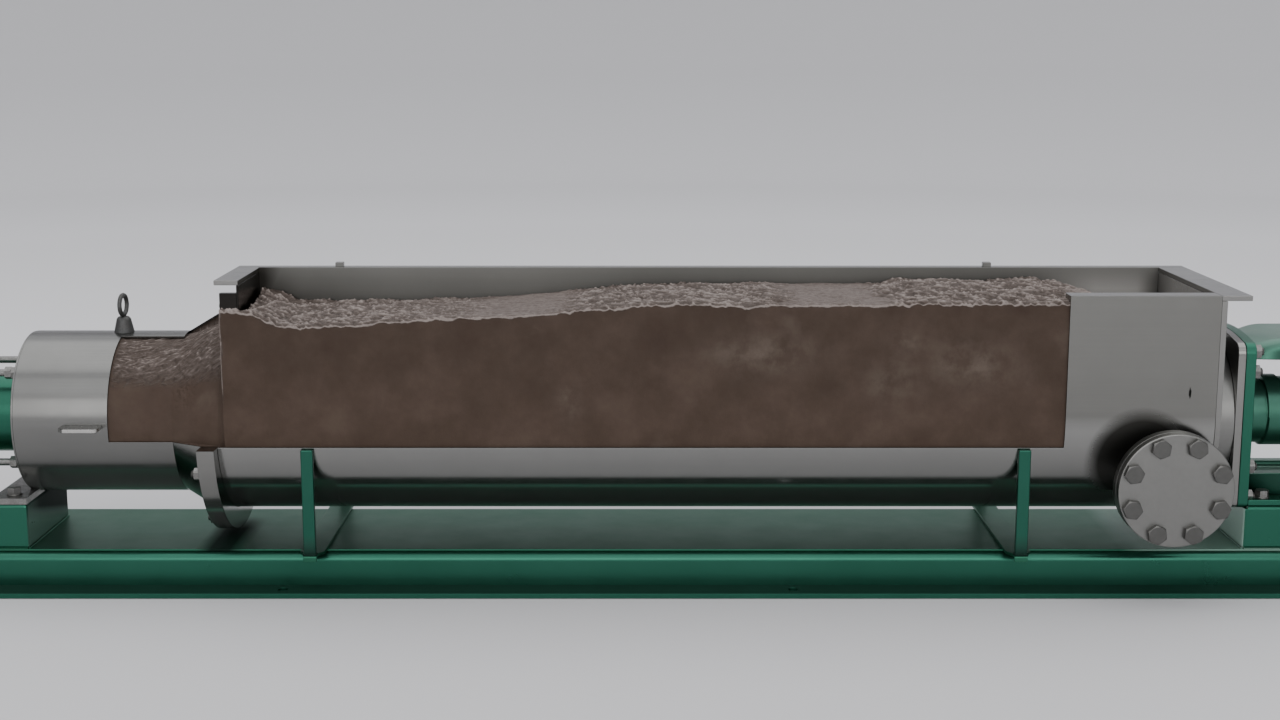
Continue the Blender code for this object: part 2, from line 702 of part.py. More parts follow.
def outlet(right_face):
    """The plate at the stator's far end and the flanged pipe on it."""
    right = right_face - GAP
    plate_left = right - OUTLET_PLATE_THICKNESS
    flange_right = right - OUTLET_LENGTH + OUTLET_FLANGE_THICKNESS
    flange_left = right - OUTLET_LENGTH
    floor = plate_left + 0.004
    profile = [
        (right, 0.0),
        (right, END_BOSS_RADIUS),
        (plate_left, END_BOSS_RADIUS),
        (plate_left, OUTLET_PIPE_RADIUS),
        (flange_right, OUTLET_PIPE_RADIUS),
        (flange_right, OUTLET_FLANGE_RADIUS),
        (flange_left, OUTLET_FLANGE_RADIUS),
        (flange_left, OUTLET_BORE_RADIUS),
        (floor, OUTLET_BORE_RADIUS),
        (floor, 0.0),
    ]
    finish(turned("outlet", profile), STEEL)
    outlet_supports(plate_left, right)


def outlet_supports(plate_left, plate_right):
    """The pedestal under the outlet plate and the saddle that holds it."""
    left, right = plate_left - 0.045, plate_right + 0.045
    pedestal("outlet_pedestal", left, right, PEDESTAL_TOP)
    top = PEDESTAL_TOP + FOOT_PLATE_THICKNESS
    saddle = box("outlet_saddle", (left + 0.01, -PEDESTAL_HALF_WIDTH, PEDESTAL_TOP), (right - 0.01, PEDESTAL_HALF_WIDTH, top))
    web_low = (plate_left - 0.004, -0.105, PEDESTAL_TOP + 0.002)
    join(saddle, box("saddle_web", web_low, (plate_right + 0.004, 0.105, AXIS_HEIGHT - 0.090)))
    room = END_BOSS_RADIUS + GAP
    cut(saddle, round_clearance("saddle_clearance", left - 0.01, right + 0.01, room))
    finish(saddle, ZINC)


def sludge_in_hopper():
    """The block of cake in the hopper: its bottom follows the trough, its top rises and falls."""
    radius = TROUGH_RADIUS - TROUGH_WALL - SLUDGE_CLEARANCE
    bottom = arc((0.0, TROUGH_HEIGHT), radius, pi, 2 * pi, 24)
    bm = bmesh.new()
    rings = []
    for x, near, far in SLUDGE_TOP:
        middle = AXIS_HEIGHT + (near + far) / 2 + 0.004
        loop = bottom + [(radius, AXIS_HEIGHT + far), (0.0, middle), (-radius, AXIS_HEIGHT + near)]
        rings.append([bm.verts.new((x, y, z)) for y, z in loop])
    loft(bm, rings)
    finish(mesh_object("sludge_in_hopper", bm), CAKE)


def sludge_in_chamber(cone_right):
    """The plug of cake that the hopper feeds through the cone into the chamber."""
    clear = SLUDGE_CLEARANCE
    small = CHAMBER_RADIUS - CHAMBER_WALL - clear
    large = CONE_LARGE_RADIUS - CHAMBER_WALL - clear
    mouth = TROUGH_RADIUS - TROUGH_WALL - (TROUGH_HEIGHT - AXIS_HEIGHT) - clear
    right = SLUDGE_LEFT - GAP
    left = CHAMBER_LEFT + 0.004
    profile = [
        (right, 0.0),
        (right, mouth),
        (HOPPER_LEFT - LEFT_END_WALL, mouth),
        (RING_RIGHT_FACE, large),
        (cone_right, large),
        (CHAMBER_RIGHT, small),
        (left, small),
        (left, 0.0),
    ]
    finish(turned("sludge_in_chamber", profile), CAKE)


def clean_out_port():
    """The short flanged neck on the trough's near side and the bolted blind cover."""
    cover_back = PORT_FACE - PORT_FLANGE_THICKNESS
    flange_front = cover_back - GAP
    flange_back = flange_front - PORT_FLANGE_THICKNESS
    inner = 0.120
    centre = (PORT_X, 0.0, AXIS_HEIGHT - PORT_DROP)
    loop = [
        (-inner, PORT_NECK_RADIUS),
        (-flange_back, PORT_NECK_RADIUS),
        (-flange_back, PORT_FLANGE_RADIUS),
        (-flange_front, PORT_FLANGE_RADIUS),
        (-flange_front, PORT_BORE_RADIUS),
        (-inner, PORT_BORE_RADIUS),
    ]
    neck = turned("port_neck", loop, "Y", centre, closed=True)
    room = TROUGH_RADIUS + GAP
    cut(neck, round_clearance("port_seat", PORT_X - 0.1, PORT_X + 0.1, room, TROUGH_HEIGHT))
    finish(neck, STEEL)
    place = (PORT_X, -PORT_FACE, centre[2])
    cover = prism("port_cover", place, PORT_FLANGE_RADIUS, PORT_FLANGE_THICKNESS, "Y", ROUND_STEPS)
    for i in range(PORT_BOLTS):
        a = 2 * pi * (i + 0.5) / PORT_BOLTS
        x = PORT_X + PORT_BOLT_CIRCLE * cos(a)
        z = centre[2] + PORT_BOLT_CIRCLE * sin(a)
        start = (x, -PORT_FACE - PORT_BOLT_HEAD, z)
        head = prism(f"port_bolt_{i}", start, PORT_BOLT_ACROSS / 2, PORT_BOLT_HEAD + 0.001, "Y", 6, a)
        join(cover, head)
    finish(cover, STEEL)


def plate_outline():
    """The outline of the square flanges: upright sides, a gently arched top and rounded corners."""
    bottom = AXIS_HEIGHT - PLATE_BOTTOM
    half = PLATE_HALF_WIDTH
    reach = half - PLATE_CORNER
    rise = PLATE_TOP - PLATE_SHOULDER
    arch_radius = (reach ** 2 + rise ** 2) / (2 * rise)
    swing = asin(reach / arch_radius)
    arch_centre = (0.0, AXIS_HEIGHT + PLATE_TOP - arch_radius)
    corner_height = AXIS_HEIGHT + PLATE_SHOULDER - PLATE_CORNER
    small = 0.012
    points = arc((reach, corner_height), PLATE_CORNER, 0.0, pi / 2 - swing, 5)
    points += arc(arch_centre, arch_radius, pi / 2 - swing, pi / 2 + swing, 10)[1:-1]
    points += arc((-reach, corner_height), PLATE_CORNER, pi / 2 + swing, pi, 5)
    points += arc((-half + small, bottom + small), small, pi, pi * 1.5, 3)
    points += arc((half - small, bottom + small), small, pi * 1.5, 2 * pi, 3)
    return points


def shaft_hole():
    return arc((0.0, AXIS_HEIGHT), SHAFT_RADIUS + GAP, 0.0, 2 * pi * 31 / 32, 31)


def drive_side():
    """The collar and square flange on the hopper, and the lantern that is bolted to it."""
    wall_right = HOPPER_RIGHT + GAP + RIGHT_END_WALL
    centre = (wall_right + GAP, 0.0, AXIS_HEIGHT)
    length = END_FLANGE_LEFT - wall_right - 2 * GAP
    finish(prism("drive_collar", centre, COLLAR_RADIUS, length, "X", ROUND_STEPS), STEEL)
    finish(section("end_flange", [plate_outline()], END_FLANGE_LEFT, END_FLANGE_RIGHT), STEEL)
    front = section("lantern_front", [plate_outline()], END_FLANGE_RIGHT + GAP, LANTERN_FRONT_RIGHT)
    finish(front, GREEN)
    rear = section("lantern_rear", [plate_outline(), shaft_hole()], LANTERN_REAR_LEFT, LANTERN_REAR_RIGHT)
    finish(rear, GREEN)


def along(points, count):
    """The same path as a fixed number of points, evenly spaced along its length."""
    steps = [0.0]
    for (y0, z0), (y1, z1) in zip(points, points[1:]):
        steps.append(steps[-1] + hypot(y1 - y0, z1 - z0))
    result = []
    segment = 0
    for i in range(count):
        target = steps[-1] * i / (count - 1)
        while segment < len(points) - 2 and steps[segment + 1] < target:
            segment += 1
        share = (target - steps[segment]) / (steps[segment + 1] - steps[segment])
        (y0, z0), (y1, z1) = points[segment], points[segment + 1]
        result.append((y0 + share * (y1 - y0), z0 + share * (z1 - z0)))
    return result


def round_path(radius, near, far):
    """An arch of a circle, from the near window edge over the top to the far one."""
    start = pi - asin(near / radius)
    end = asin(far / radius)
    return along(arc((0.0, 0.0), radius, start, end, 24), 21)


def square_path(half, top, corner, near, far):
    """An arch with upright sides, a flat top and rounded corners."""
    path = [(-half, near)]
    path += arc((-half + corner, top - corner), corner, pi, pi / 2, 4)
    path += arc((half - corner, top - corner), corner, pi / 2, 0.0, 4)
    return along([*path, (half, far)], 21)


def lantern_bridge(name, level, top, near, far):
    """One wall between the lantern's plates: an arch that is round at the front and squares off behind."""
    wall = BRIDGE_WALL
    half = BRIDGE_SQUARE_HALF_WIDTH
    round_outer = round_path(BRIDGE_ROUND_RADIUS, near, far)
    round_inner = round_path(BRIDGE_ROUND_RADIUS - wall, near, far)
    square_outer = square_path(half, top, BRIDGE_CORNER, near, far)
    square_inner = square_path(half - wall, top - wall, 0.008, near, far)
    left = LANTERN_FRONT_RIGHT + GAP
    length = BRIDGE_FLARE_END - left
    stations = [(left + length * i / 6, sin(pi / 2 * i / 6)) for i in range(7)]
    stations.append((LANTERN_REAR_LEFT - GAP, 1.0))
    bm = bmesh.new()
    rings = []
    for x, share in stations:
        outer = blend(round_outer, square_outer, share)
        inner = blend(round_inner, square_inner, share)
        loop = outer + inner[::-1]
        rings.append([bm.verts.new((x, y, AXIS_HEIGHT + level * z)) for y, z in loop])
    loft(bm, rings)
    return finish(mesh_object(name, bm), GREEN)


def blend(first, second, share):
    return [(a + share * (c - a), b + share * (d - b)) for (a, b), (c, d) in zip(first, second)]


def loft(bm, rings):
    """Skin a row of closed loops that have the same number of points, and cap both ends."""
    count = len(rings[0])
    for first, second in zip(rings, rings[1:]):
        for j in range(count):
            k = (j + 1) % count
            bm.faces.new((first[j], first[k], second[k], second[j]))
    bm.faces.new(rings[0])
    bm.faces.new(rings[-1])


def lantern_bridges():
    lantern_bridge("lantern_bridge_top", 1, BRIDGE_SQUARE_TOP, WINDOW_TOP, WINDOW_TOP)
    underside = AXIS_HEIGHT - RIGHT_PEDESTAL_TOP
    lantern_bridge("lantern_bridge_bottom", -1, underside, WINDOW_BOTTOM_NEAR, WINDOW_BOTTOM_FAR)


def stuffing_box():
    """The seal housing round the shaft: a flange, a neck, a body with a raised half-round cap, and a gland."""
    left = LANTERN_FRONT_RIGHT + GAP
    bore = SHAFT_RADIUS + GAP
    cap_left, cap_right = STUFFING_CAP
    loop = [
        (GLAND_RIGHT, bore),
        (GLAND_RIGHT, GLAND_RADIUS),
        (STUFFING_RIGHT, GLAND_RADIUS),
        (STUFFING_RIGHT, STUFFING_RADIUS),
        (cap_left + 0.003, STUFFING_RADIUS),
        (cap_left, STUFFING_NECK_RADIUS),
        (STUFFING_FLANGE_RIGHT, STUFFING_NECK_RADIUS),
        (STUFFING_FLANGE_RIGHT, STUFFING_FLANGE_RADIUS),
        (left, STUFFING_FLANGE_RADIUS),
        (left, bore),
    ]
    housing = turned("stuffing_box", loop, closed=True)
    radius = STUFFING_CAP_RADIUS
    half_ring = arc((0.0, AXIS_HEIGHT), radius, 0.0, pi, 24) + arc((0.0, AXIS_HEIGHT), 0.060, pi, 0.0, 16)
    join(housing, as_mesh(section("stuffing_cap", [half_ring], cap_left, cap_right)))
    finish(housing, GREEN)


def drive_shaft():
    """The bare shaft, from the seal to its free end."""
    left = LANTERN_FRONT_RIGHT + 2 * GAP
    chamfer = 0.002
    r = SHAFT_RADIUS
    profile = [(SHAFT_END, 0.0), (SHAFT_END, r - chamfer), (SHAFT_END - chamfer, r), (left, r), (left, 0.0)]
    finish(turned("drive_shaft", profile, steps=SMALL_STEPS), STEEL)


def bearing_housing():
    """The bearing housing behind the lantern, its end cover, foot and pedestal."""
    bore = SHAFT_RADIUS + GAP
    left = BEARING_LEFT
    loop = [
        (BEARING_RIGHT, bore),
        (BEARING_RIGHT, BEARING_RADIUS - 0.006),
        (BEARING_RIGHT - 0.006, BEARING_RADIUS),
        (left + 0.016, BEARING_RADIUS),
        (left + 0.016, 0.135),
        (left, 0.135),
        (left, bore),
    ]
    finish(turned("bearing_housing", loop, closed=True), GREEN)
    cover_left = BEARING_RIGHT + GAP
    cover_right = cover_left + COVER_THICKNESS
    loop = [(cover_right, bore), (cover_right, COVER_RADIUS), (cover_left, COVER_RADIUS), (cover_left, bore)]
    finish(turned("bearing_cover", loop, closed=True), GREEN)
    pedestal("bearing_pedestal", 1.690, 1.835, RIGHT_PEDESTAL_TOP)
    low = (1.702, -0.148, RIGHT_PEDESTAL_TOP)
    foot = box("bearing_foot", low, (1.823, 0.148, RIGHT_PEDESTAL_TOP + FOOT_PLATE_THICKNESS))
    web_low = (1.715, -0.090, RIGHT_PEDESTAL_TOP + 0.002)
    join(foot, box("bearing_web", web_low, (1.810, 0.090, AXIS_HEIGHT - 0.055)))
    cut(foot, round_clearance("bearing_seat", 1.65, 1.90, BEARING_RADIUS + GAP))
    finish(foot, GREEN)


def build():
    deck_plate()
    base_rails()
    base_ends()
    base_cross_ties()
    chamber_supports()
    lantern_supports()
    cross_bars()
    support_posts()
    trough_bottom()
    trough_walls()
    hopper_ends()
    hopper_rim()
    cone_right = ring_flanges()
    cone_and_chamber(cone_right)
    chamber_lugs()
    lifting_eye()
    boss = chamber_end()
    stator_left = stator_and_rods(boss)
    outlet(stator_left)
    sludge_in_hopper()
    sludge_in_chamber(cone_right)
    clean_out_port()
    drive_side()
    lantern_bridges()
    stuffing_box()
    drive_shaft()
    bearing_housing()


build()
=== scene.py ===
# %% [markdown]
# # A sludge cake pump, cut open
#
# This pump pushes stiff, dewatered sludge. The cake lies in a long open hopper, is pressed
# through a cone into a round chamber, and a screw in the green tube drives it on. The near
# side of the hopper is cut away to show the cake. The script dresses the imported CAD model:
# X runs along the pump, -Y is the near side, and +Z is up, in metres.

import bpy
import numpy as np
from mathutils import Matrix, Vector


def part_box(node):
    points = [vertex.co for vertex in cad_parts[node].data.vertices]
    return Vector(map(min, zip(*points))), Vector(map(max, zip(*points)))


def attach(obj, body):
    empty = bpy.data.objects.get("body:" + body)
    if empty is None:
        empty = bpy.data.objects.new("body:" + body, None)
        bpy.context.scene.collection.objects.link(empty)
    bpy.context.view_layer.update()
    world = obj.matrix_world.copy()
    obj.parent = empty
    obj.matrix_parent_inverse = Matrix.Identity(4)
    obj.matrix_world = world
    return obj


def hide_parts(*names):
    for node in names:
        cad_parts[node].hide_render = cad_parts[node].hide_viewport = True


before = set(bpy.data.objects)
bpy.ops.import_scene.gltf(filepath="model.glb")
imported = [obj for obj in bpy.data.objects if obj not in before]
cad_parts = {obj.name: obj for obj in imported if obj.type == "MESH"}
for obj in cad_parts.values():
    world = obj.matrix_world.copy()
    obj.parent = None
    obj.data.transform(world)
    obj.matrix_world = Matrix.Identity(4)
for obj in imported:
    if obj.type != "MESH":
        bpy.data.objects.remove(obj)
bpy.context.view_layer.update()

AXIS = 0.327

# %% [markdown]
# ## From a grid of numbers to a mesh
#
# Nearly every piece here is a grid: rows of points, each row a closed ring. A lathe part, a
# bent sheet and a lump of cake differ only in the formula that fills the grid. One function
# joins the points into faces. The volume that the faces enclose tells whether they point
# outwards, so no closed piece can end up inside out.

# %% Skin a grid, and check which way its faces point


def cells(index):
    """The four corners of every cell in a grid of point numbers."""
    return np.stack([index[:-1, :-1], index[:-1, 1:], index[1:, 1:], index[1:, :-1]], -1)


def outward(points, faces):
    """Keep or flip all faces: the volume is the sum of a . (b x c) / 6 over every triangle of
    every face, and it is positive when the faces point outwards."""
    volume = 0.0
    for block in faces:
        corners = points[block]
        volume += (corners[:, :1] * np.cross(corners[:, 1:-1], corners[:, 2:])).sum() / 6
    if volume < 0:
        faces = [block[:, ::-1] for block in faces]
    return points, faces


def skin(grid, loop=False):
    """Join neighbouring points of a (rows, columns, 3) grid with quads. Each row closes on
    itself. With loop the last row meets the first, otherwise both end rows become flat caps."""
    rows, columns = grid.shape[:2]
    index = np.arange(rows * columns).reshape(rows, columns)
    caps = [] if loop else [index[:1, ::-1], index[-1:]]
    if loop:
        index = np.vstack([index, index[:1]])
    index = np.hstack([index, index[:, :1]])
    return outward(grid.reshape(-1, 3), [cells(index).reshape(-1, 4)] + caps)


def standing_faces(grid, index, standing):
    """An open sheet: only the cells that stand, and only the points that they use."""
    used, corners = np.unique(cells(index)[standing], return_inverse=True)
    return grid.reshape(-1, 3)[used], [corners.reshape(-1, 4)]


def moved(shape, offset):
    """The same shape with the offset added to every point."""
    points, faces = shape
    return points + np.asarray(offset, float), faces


def together(shapes):
    """Several shapes as one: the points follow each other, and the faces count on from there."""
    starts = np.cumsum([0] + [len(points) for points, _ in shapes[:-1]])
    points = np.concatenate([points for points, _ in shapes])
    faces = [block + start for (_, blocks), start in zip(shapes, starts) for block in blocks]
    return points, faces


def count_faces(shape):
    """The number of faces in all blocks of a shape."""
    return sum(len(block) for block in shape[1])


sample = np.random.default_rng(1).normal(size=(3, 4, 3))
print("a skinned 3 x 4 grid has", count_faces(skin(sample)), "faces")

# %% [markdown]
# ## From a mesh to a piece
#
# A piece needs a mesh, a finish, the CAD body it rides on, and the CAD nodes that it stands
# for. Faces meet at sharp edges above a set angle, and a Bevel modifier rounds the edges of
# plates and blocks. Its hardened normals keep the large faces flat.

# %% Make a piece and tie it to the frame
MADE = []


def piece(name, shapes, material, replaces=(), bevel=0.0, segments=2, sharp=32):
    """Build the object, give it its finish, and let it ride on the pump's only body."""
    points, faces = together(shapes)
    mesh = bpy.data.meshes.new(name)
    mesh.from_pydata(points.tolist(), [], [face for block in faces for face in block.tolist()])
    mesh.shade_smooth()
    mesh.set_sharp_from_angle(angle=np.radians(sharp))
    obj = bpy.data.objects.new(name, mesh)
    bpy.context.scene.collection.objects.link(obj)
    mesh.materials.append(material)
    if bevel:
        modifier = obj.modifiers.new("rounded edges", "BEVEL")
        modifier.width = bevel
        modifier.segments = segments
        modifier.limit_method = "ANGLE"
        modifier.angle_limit = np.radians(38)
        modifier.harden_normals = True
    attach(obj, "root")
    if replaces:
        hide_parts(*replaces)
    MADE.append(obj)
    print(f"{name}: {len(mesh.polygons)} faces")
    return obj


# %% [markdown]
# ## Basic shapes
#
# A block, a flat outline with thickness, and a turned part cover most of a welded machine.
# Each could come from a menu primitive, but a formula keeps every size exact and gives the
# rounded corners their extra points where the light needs them.

# %% Blocks, flat outlines and turned parts


def block(low, high):
    """The eight corners: four round the low face and the same four at the high face."""
    (x0, y0, z0), (x1, y1, z1) = low, high
    ring = np.array([(x0, y0), (x1, y0), (x1, y1), (x0, y1)])
    grid = np.empty((2, 4, 3))
    grid[:, :, :2] = ring
    grid[0, :, 2], grid[1, :, 2] = z0, z1
    return skin(grid)


def extruded(outline, axis, low, high):
    """An outline in the two other axes, (Y, Z) for X, (X, Z) for Y, (X, Y) for Z, copied from
    low to high along the axis."""
    outline = np.asarray(outline, float)
    places = {"X": (1, 2, 0), "Y": (0, 2, 1), "Z": (0, 1, 2)}[axis]
    grid = np.empty((2, len(outline), 3))
    grid[..., places[0]] = outline[:, 0]
    grid[..., places[1]] = outline[:, 1]
    grid[..., places[2]] = np.array([[low], [high]])
    return skin(grid)


def softened(outline, radius, closed=True, steps=3):
    """Round the corners of an outline. Corner P becomes the curve (1-t)^2 A + 2t(1-t) P + t^2 B,
    with A and B the radius before and after P. A guard point beside A and B, 1.6 radii from P,
    keeps flats flat. Short sides shrink the radius to 0.3 of their length."""
    p = np.asarray(outline, float)
    back, ahead = np.roll(p, 1, 0) - p, np.roll(p, -1, 0) - p
    back_length = np.linalg.norm(back, axis=1, keepdims=True)
    ahead_length = np.linalg.norm(ahead, axis=1, keepdims=True)
    reach = np.minimum(radius, 0.3 * np.minimum(back_length, ahead_length))
    to_a, to_b = back / back_length * reach, ahead / ahead_length * reach
    t = np.linspace(0, 1, steps + 1)[None, :, None]
    curve = (1 - t) ** 2 * (p + to_a)[:, None] + 2 * t * (1 - t) * p[:, None] + t**2 * (p + to_b)[:, None]
    guards = (p + to_a * 1.6)[:, None], (p + to_b * 1.6)[:, None]
    rounded = np.concatenate([guards[0], curve, guards[1]], axis=1)
    if closed:
        return rounded.reshape(-1, 2)
    return np.concatenate([p[:1], rounded[1:-1].reshape(-1, 2), p[-1:]])


def arc_points(radius, angle, centre=(0, 0)):
    """Flat points at centre + radius (cos, sin) of each angle."""
    return np.column_stack([np.cos(angle), np.sin(angle)]) * radius + centre


def swung(along, radius, angle, axis, centre=(0, 0, AXIS)):
    """The point at a distance along an axis, a radius and an angle from it: the first cross
    axis gets radius x cos(angle) and the second radius x sin(angle)."""
    along, radius, angle = np.broadcast_arrays(along, radius, angle)
    places = {"X": (0, 1, 2), "Y": (1, 0, 2), "Z": (2, 0, 1)}[axis]
    grid = np.empty(along.shape + (3,))
    grid[..., places[0]] = along
    grid[..., places[1]] = radius * np.cos(angle)
    grid[..., places[2]] = radius * np.sin(angle)
    return grid + np.asarray(centre, float)


def turned(profile, axis="X", centre=(0, 0, AXIS), steps=128, ring=False):
    """Turn (along, radius) pairs about an axis. An open profile gets a flat cap at each end,
    a ring's profile closes on itself."""
    profile = np.asarray(profile, float)
    angle = np.linspace(0, 2 * np.pi, steps, endpoint=False)
    return skin(swung(profile[:, :1], profile[:, 1:], angle[None, :], axis, centre), loop=ring)


print("softened square:", len(softened([(0, 0), (1, 0), (1, 1), (0, 1)], 0.1)), "points")

# %% [markdown]
# ## Round shells with the near side cut away
#
# The section is cut with one upright plane just behind the axis and one level plane just
# below it. A saw would leave both faces flat, so the cut is part of the formula: each radius
# of the shell starts and stops at its own angle, where it meets the two planes.

# %% Turn a section over the part that the cut leaves standing
CUT_LEVEL = 0.296
CUT_PLANE = 0.003


def cut_turned(section, steps):
    """Carry a closed (X, radius) section round the axis. At radius r it starts on the level
    plane, at the angle pi + asin(drop / r), and ends on the upright one, at
    2 pi + acos(plane / r)."""
    section = np.asarray(section, float)
    x, r = section[:, 0], section[:, 1]
    start = np.pi + np.arcsin((AXIS - CUT_LEVEL) / r)
    end = 2 * np.pi + np.arccos(CUT_PLANE / r)
    share = np.linspace(0, 1, steps)[:, None]
    return skin(swung(x, r, start + share * (end - start), "X"))


below, behind = round(1000 * (AXIS - CUT_LEVEL)), round(1000 * CUT_PLANE)
print("the cut lies", below, "mm below the axis and", behind, "mm behind it")

# %% [markdown]
# ## Bolts, nuts and washers
#
# A hexagon head is a six-sided prism whose corners are turned away by a cone, which leaves
# the curved chamfers that every nut shows. In a formula the radius follows the hexagon and
# the height is the lower of the flat top and the cone.

# %% Hexagons with turned corners
HEX_TURN = np.arange(48) / 48 * 2 * np.pi
CHAMFER_CIRCLE, CHAMFER_SLOPE = 0.47, 0.35
WASHER_RADIUS = 0.62


def hexagon(across, height, both=False):
    """Rings of a hexagon head along +Z. The side stands at across / 2 / cos(angle within the
    flat), and the top falls with the chamfer's slope outside a circle just inside the flats.
    A nut has the chamfer on both faces."""
    inside = (HEX_TURN + np.pi / 6) % (np.pi / 3) - np.pi / 6
    side = across / 2 / np.cos(inside)
    crown = CHAMFER_CIRCLE * across
    fall = CHAMFER_SLOPE * (side - crown)
    flat = np.full_like(side, crown)
    foot = [(flat, 0 * side), (side, fall)] if both else [(side, 0 * side)]
    rings = foot + [(side, height - fall), (flat, height + 0 * side)]
    radius, level = np.array(rings).transpose(1, 0, 2)
    return skin(swung(level, radius, HEX_TURN[None, :], "Z", (0, 0, 0)))


def disc(radius, thickness, edge=0.0006):
    """A round plate along +Z with broken edges."""
    profile = [(0, radius - edge), (edge, radius), (thickness - edge, radius), (thickness, radius - edge)]
    return turned(profile, "Z", (0, 0, 0), 32)


def threaded(radius, start, end, pitch=0.002, depth=0.0007, chamfer=0.0012):
    """A bolt's threaded end along +Z: the radius swings by a saw tooth along its length, and
    the tip is chamfered."""
    turns = max(int((end - start) / pitch), 2)
    level = np.linspace(start, end - chamfer, turns * 2 + 1)
    wave = radius - depth * (np.arange(len(level)) % 2)
    profile = np.column_stack([np.append(level, end), np.append(wave, radius - 1.5 * chamfer)])
    return turned(profile, "Z", (0, 0, 0), 20)


def aimed(shape, axis, place, turn=0.0):
    """Lay a shape that was made along +Z along an axis such as "-X", and move it to its place."""
    points, faces = shape
    c, s = np.cos(turn), np.sin(turn)
    x, y, z = points[:, 0] * c - points[:, 1] * s, points[:, 0] * s + points[:, 1] * c, points[:, 2]
    ways = {"+X": (z, x, y), "-X": (-z, y, x), "-Y": (x, -z, y), "+Z": (x, y, z)}
    return np.column_stack(ways[axis]) + np.asarray(place, float), faces


def bolt(across, head, washer=0.0, stud=0.0, shank=0.006):
    """A hexagon on its washer, with or without the threaded end standing proud."""
    parts = []
    if washer:
        parts.append(disc(across * WASHER_RADIUS, washer))
    parts.append(moved(hexagon(across, head), (0, 0, washer)))
    if stud:
        parts.append(threaded(shank, washer + head - 0.001, washer + head + stud))
    return together(parts)


print("one bolt head:", count_faces(bolt(0.024, 0.013, 0.003)), "faces")

# %% [markdown]
# ## Welds
#
# A weld bead is a small rounded ridge with ripples, one for each step of the torch. It is
# carried along the seam: a low circle whose radius swings as it goes. Path and sideways
# direction are arrays, so the whole bead is one formula.

# %% Carry a bead along a path
BEAD_TURN = np.arange(8) / 8 * 2 * np.pi
RINGS_PER_RIPPLE = 4


def bead(path, radius, closed=False, ripple=0.14, pitch=0.006, up=(0, 0, 1)):
    """A tube along the path. Its radius is r (1 + ripple x sin(2 pi s / pitch)), s being the
    length walked, and its rings stand across the path's own direction."""
    path = np.asarray(path, float)
    end = path[:1] if closed else path[-1:]
    step = np.diff(path, axis=0, append=end)
    length = np.concatenate([[0], np.cumsum(np.linalg.norm(step, axis=1))])
    count = max(int(length[-1] / pitch * RINGS_PER_RIPPLE), 8)
    walked = np.linspace(0, length[-1], count, endpoint=not closed)
    stations = np.vstack([path, end])
    line = np.column_stack([np.interp(walked, length, stations[:, i]) for i in range(3)])
    way = np.roll(line, -1, 0) - np.roll(line, 1, 0) if closed else np.gradient(line, axis=0)
    way /= np.linalg.norm(way, axis=1, keepdims=True)
    side = np.cross(way, np.asarray(up, float))
    side /= np.linalg.norm(side, axis=1, keepdims=True)
    lift = np.cross(side, way)
    size = radius * (1 + ripple * np.sin(2 * np.pi * walked / pitch))
    cosine, sine = np.cos(BEAD_TURN)[None, :, None], np.sin(BEAD_TURN)[None, :, None]
    ring = side[:, None] * cosine + lift[:, None] * sine
    return skin(line[:, None] + ring * size[:, None, None], loop=closed)


print("a bead of 0.3 m:", len(bead([(0, 0, 0), (0.3, 0, 0)], 0.003)[0]), "points")

# %% [markdown]
# ## Finishes
#
# Four finishes make the pump: green enamel, stainless steel, zinc plating and the cake. Each
# is built from small node helpers: a noise in the piece's own coordinates, a ramp that turns
# it into colour or roughness, and a bump. Everything is in object coordinates, where one
# unit is one metre, so the grain has the right size on every piece. Where painted shade,
# painted light, stains or a dried film lie, a finish has a variant, and a small formula says how much of it.

# %% Values, nodes and new finishes


class Value:
    """What a node gives. A sign such as + between two of them adds one Math node, so that a
    formula for dirt can be written as a formula."""

    def __init__(self, socket):
        self.socket, self.tree = socket, socket.id_data

    def __add__(self, other):
        return maths(self.tree, "ADD", self, other)

    def __sub__(self, other):
        return maths(self.tree, "SUBTRACT", self, other)

    def __mul__(self, other):
        return maths(self.tree, "MULTIPLY", self, other)

    def __truediv__(self, other):
        return maths(self.tree, "DIVIDE", self, other)


def connect(made, **inputs):
    """Feed a node's inputs by name, or by number as in _0. A Value is linked, and anything else
    is typed in."""
    for key, value in inputs.items():
        socket = made.inputs[int(key[1:])] if key[1:].isdigit() else made.inputs[key.replace("_", " ")]
        if isinstance(value, Value):
            made.id_data.links.new(value.socket, socket)
        else:
            socket.default_value = value


def node(tree, kind, settings=None, output=0, **inputs):
    """Add a node with its settings and inputs, and hand on one of its outputs."""
    made = tree.nodes.new(kind)
    for key, value in (settings or {}).items():
        setattr(made, key, value)
    connect(made, **inputs)
    return Value(made.outputs[output])


def new_finish(name):
    """A material, its node tree and its shader."""
    material = bpy.data.materials.new(name)
    material.use_nodes = True
    return material, material.node_tree, material.node_tree.nodes["Principled BSDF"]


def maths(tree, operation, first, second=0.0):
    """Any operation of the Math node, also those that have no sign."""
    return node(tree, "ShaderNodeMath", {"operation": operation}, _0=first, _1=second)


print("a formula in nodes is written with", Value.__name__, "and its signs + - * /")

# %% Places, noises, ramps and reliefs


def place(tree, scale=(1, 1, 1)):
    """Object coordinates, stretched by a scale."""
    where = node(tree, "ShaderNodeTexCoord", output="Object")
    return node(tree, "ShaderNodeMapping", Vector=where, Scale=scale)


def along(tree, axis):
    """One of the object's own coordinates, in metres."""
    return node(tree, "ShaderNodeSeparateXYZ", output=axis, Vector=place(tree))


def distance(tree, first, second):
    """The square root of a^2 + b^2."""
    return maths(tree, "SQRT", first * first + second * second)


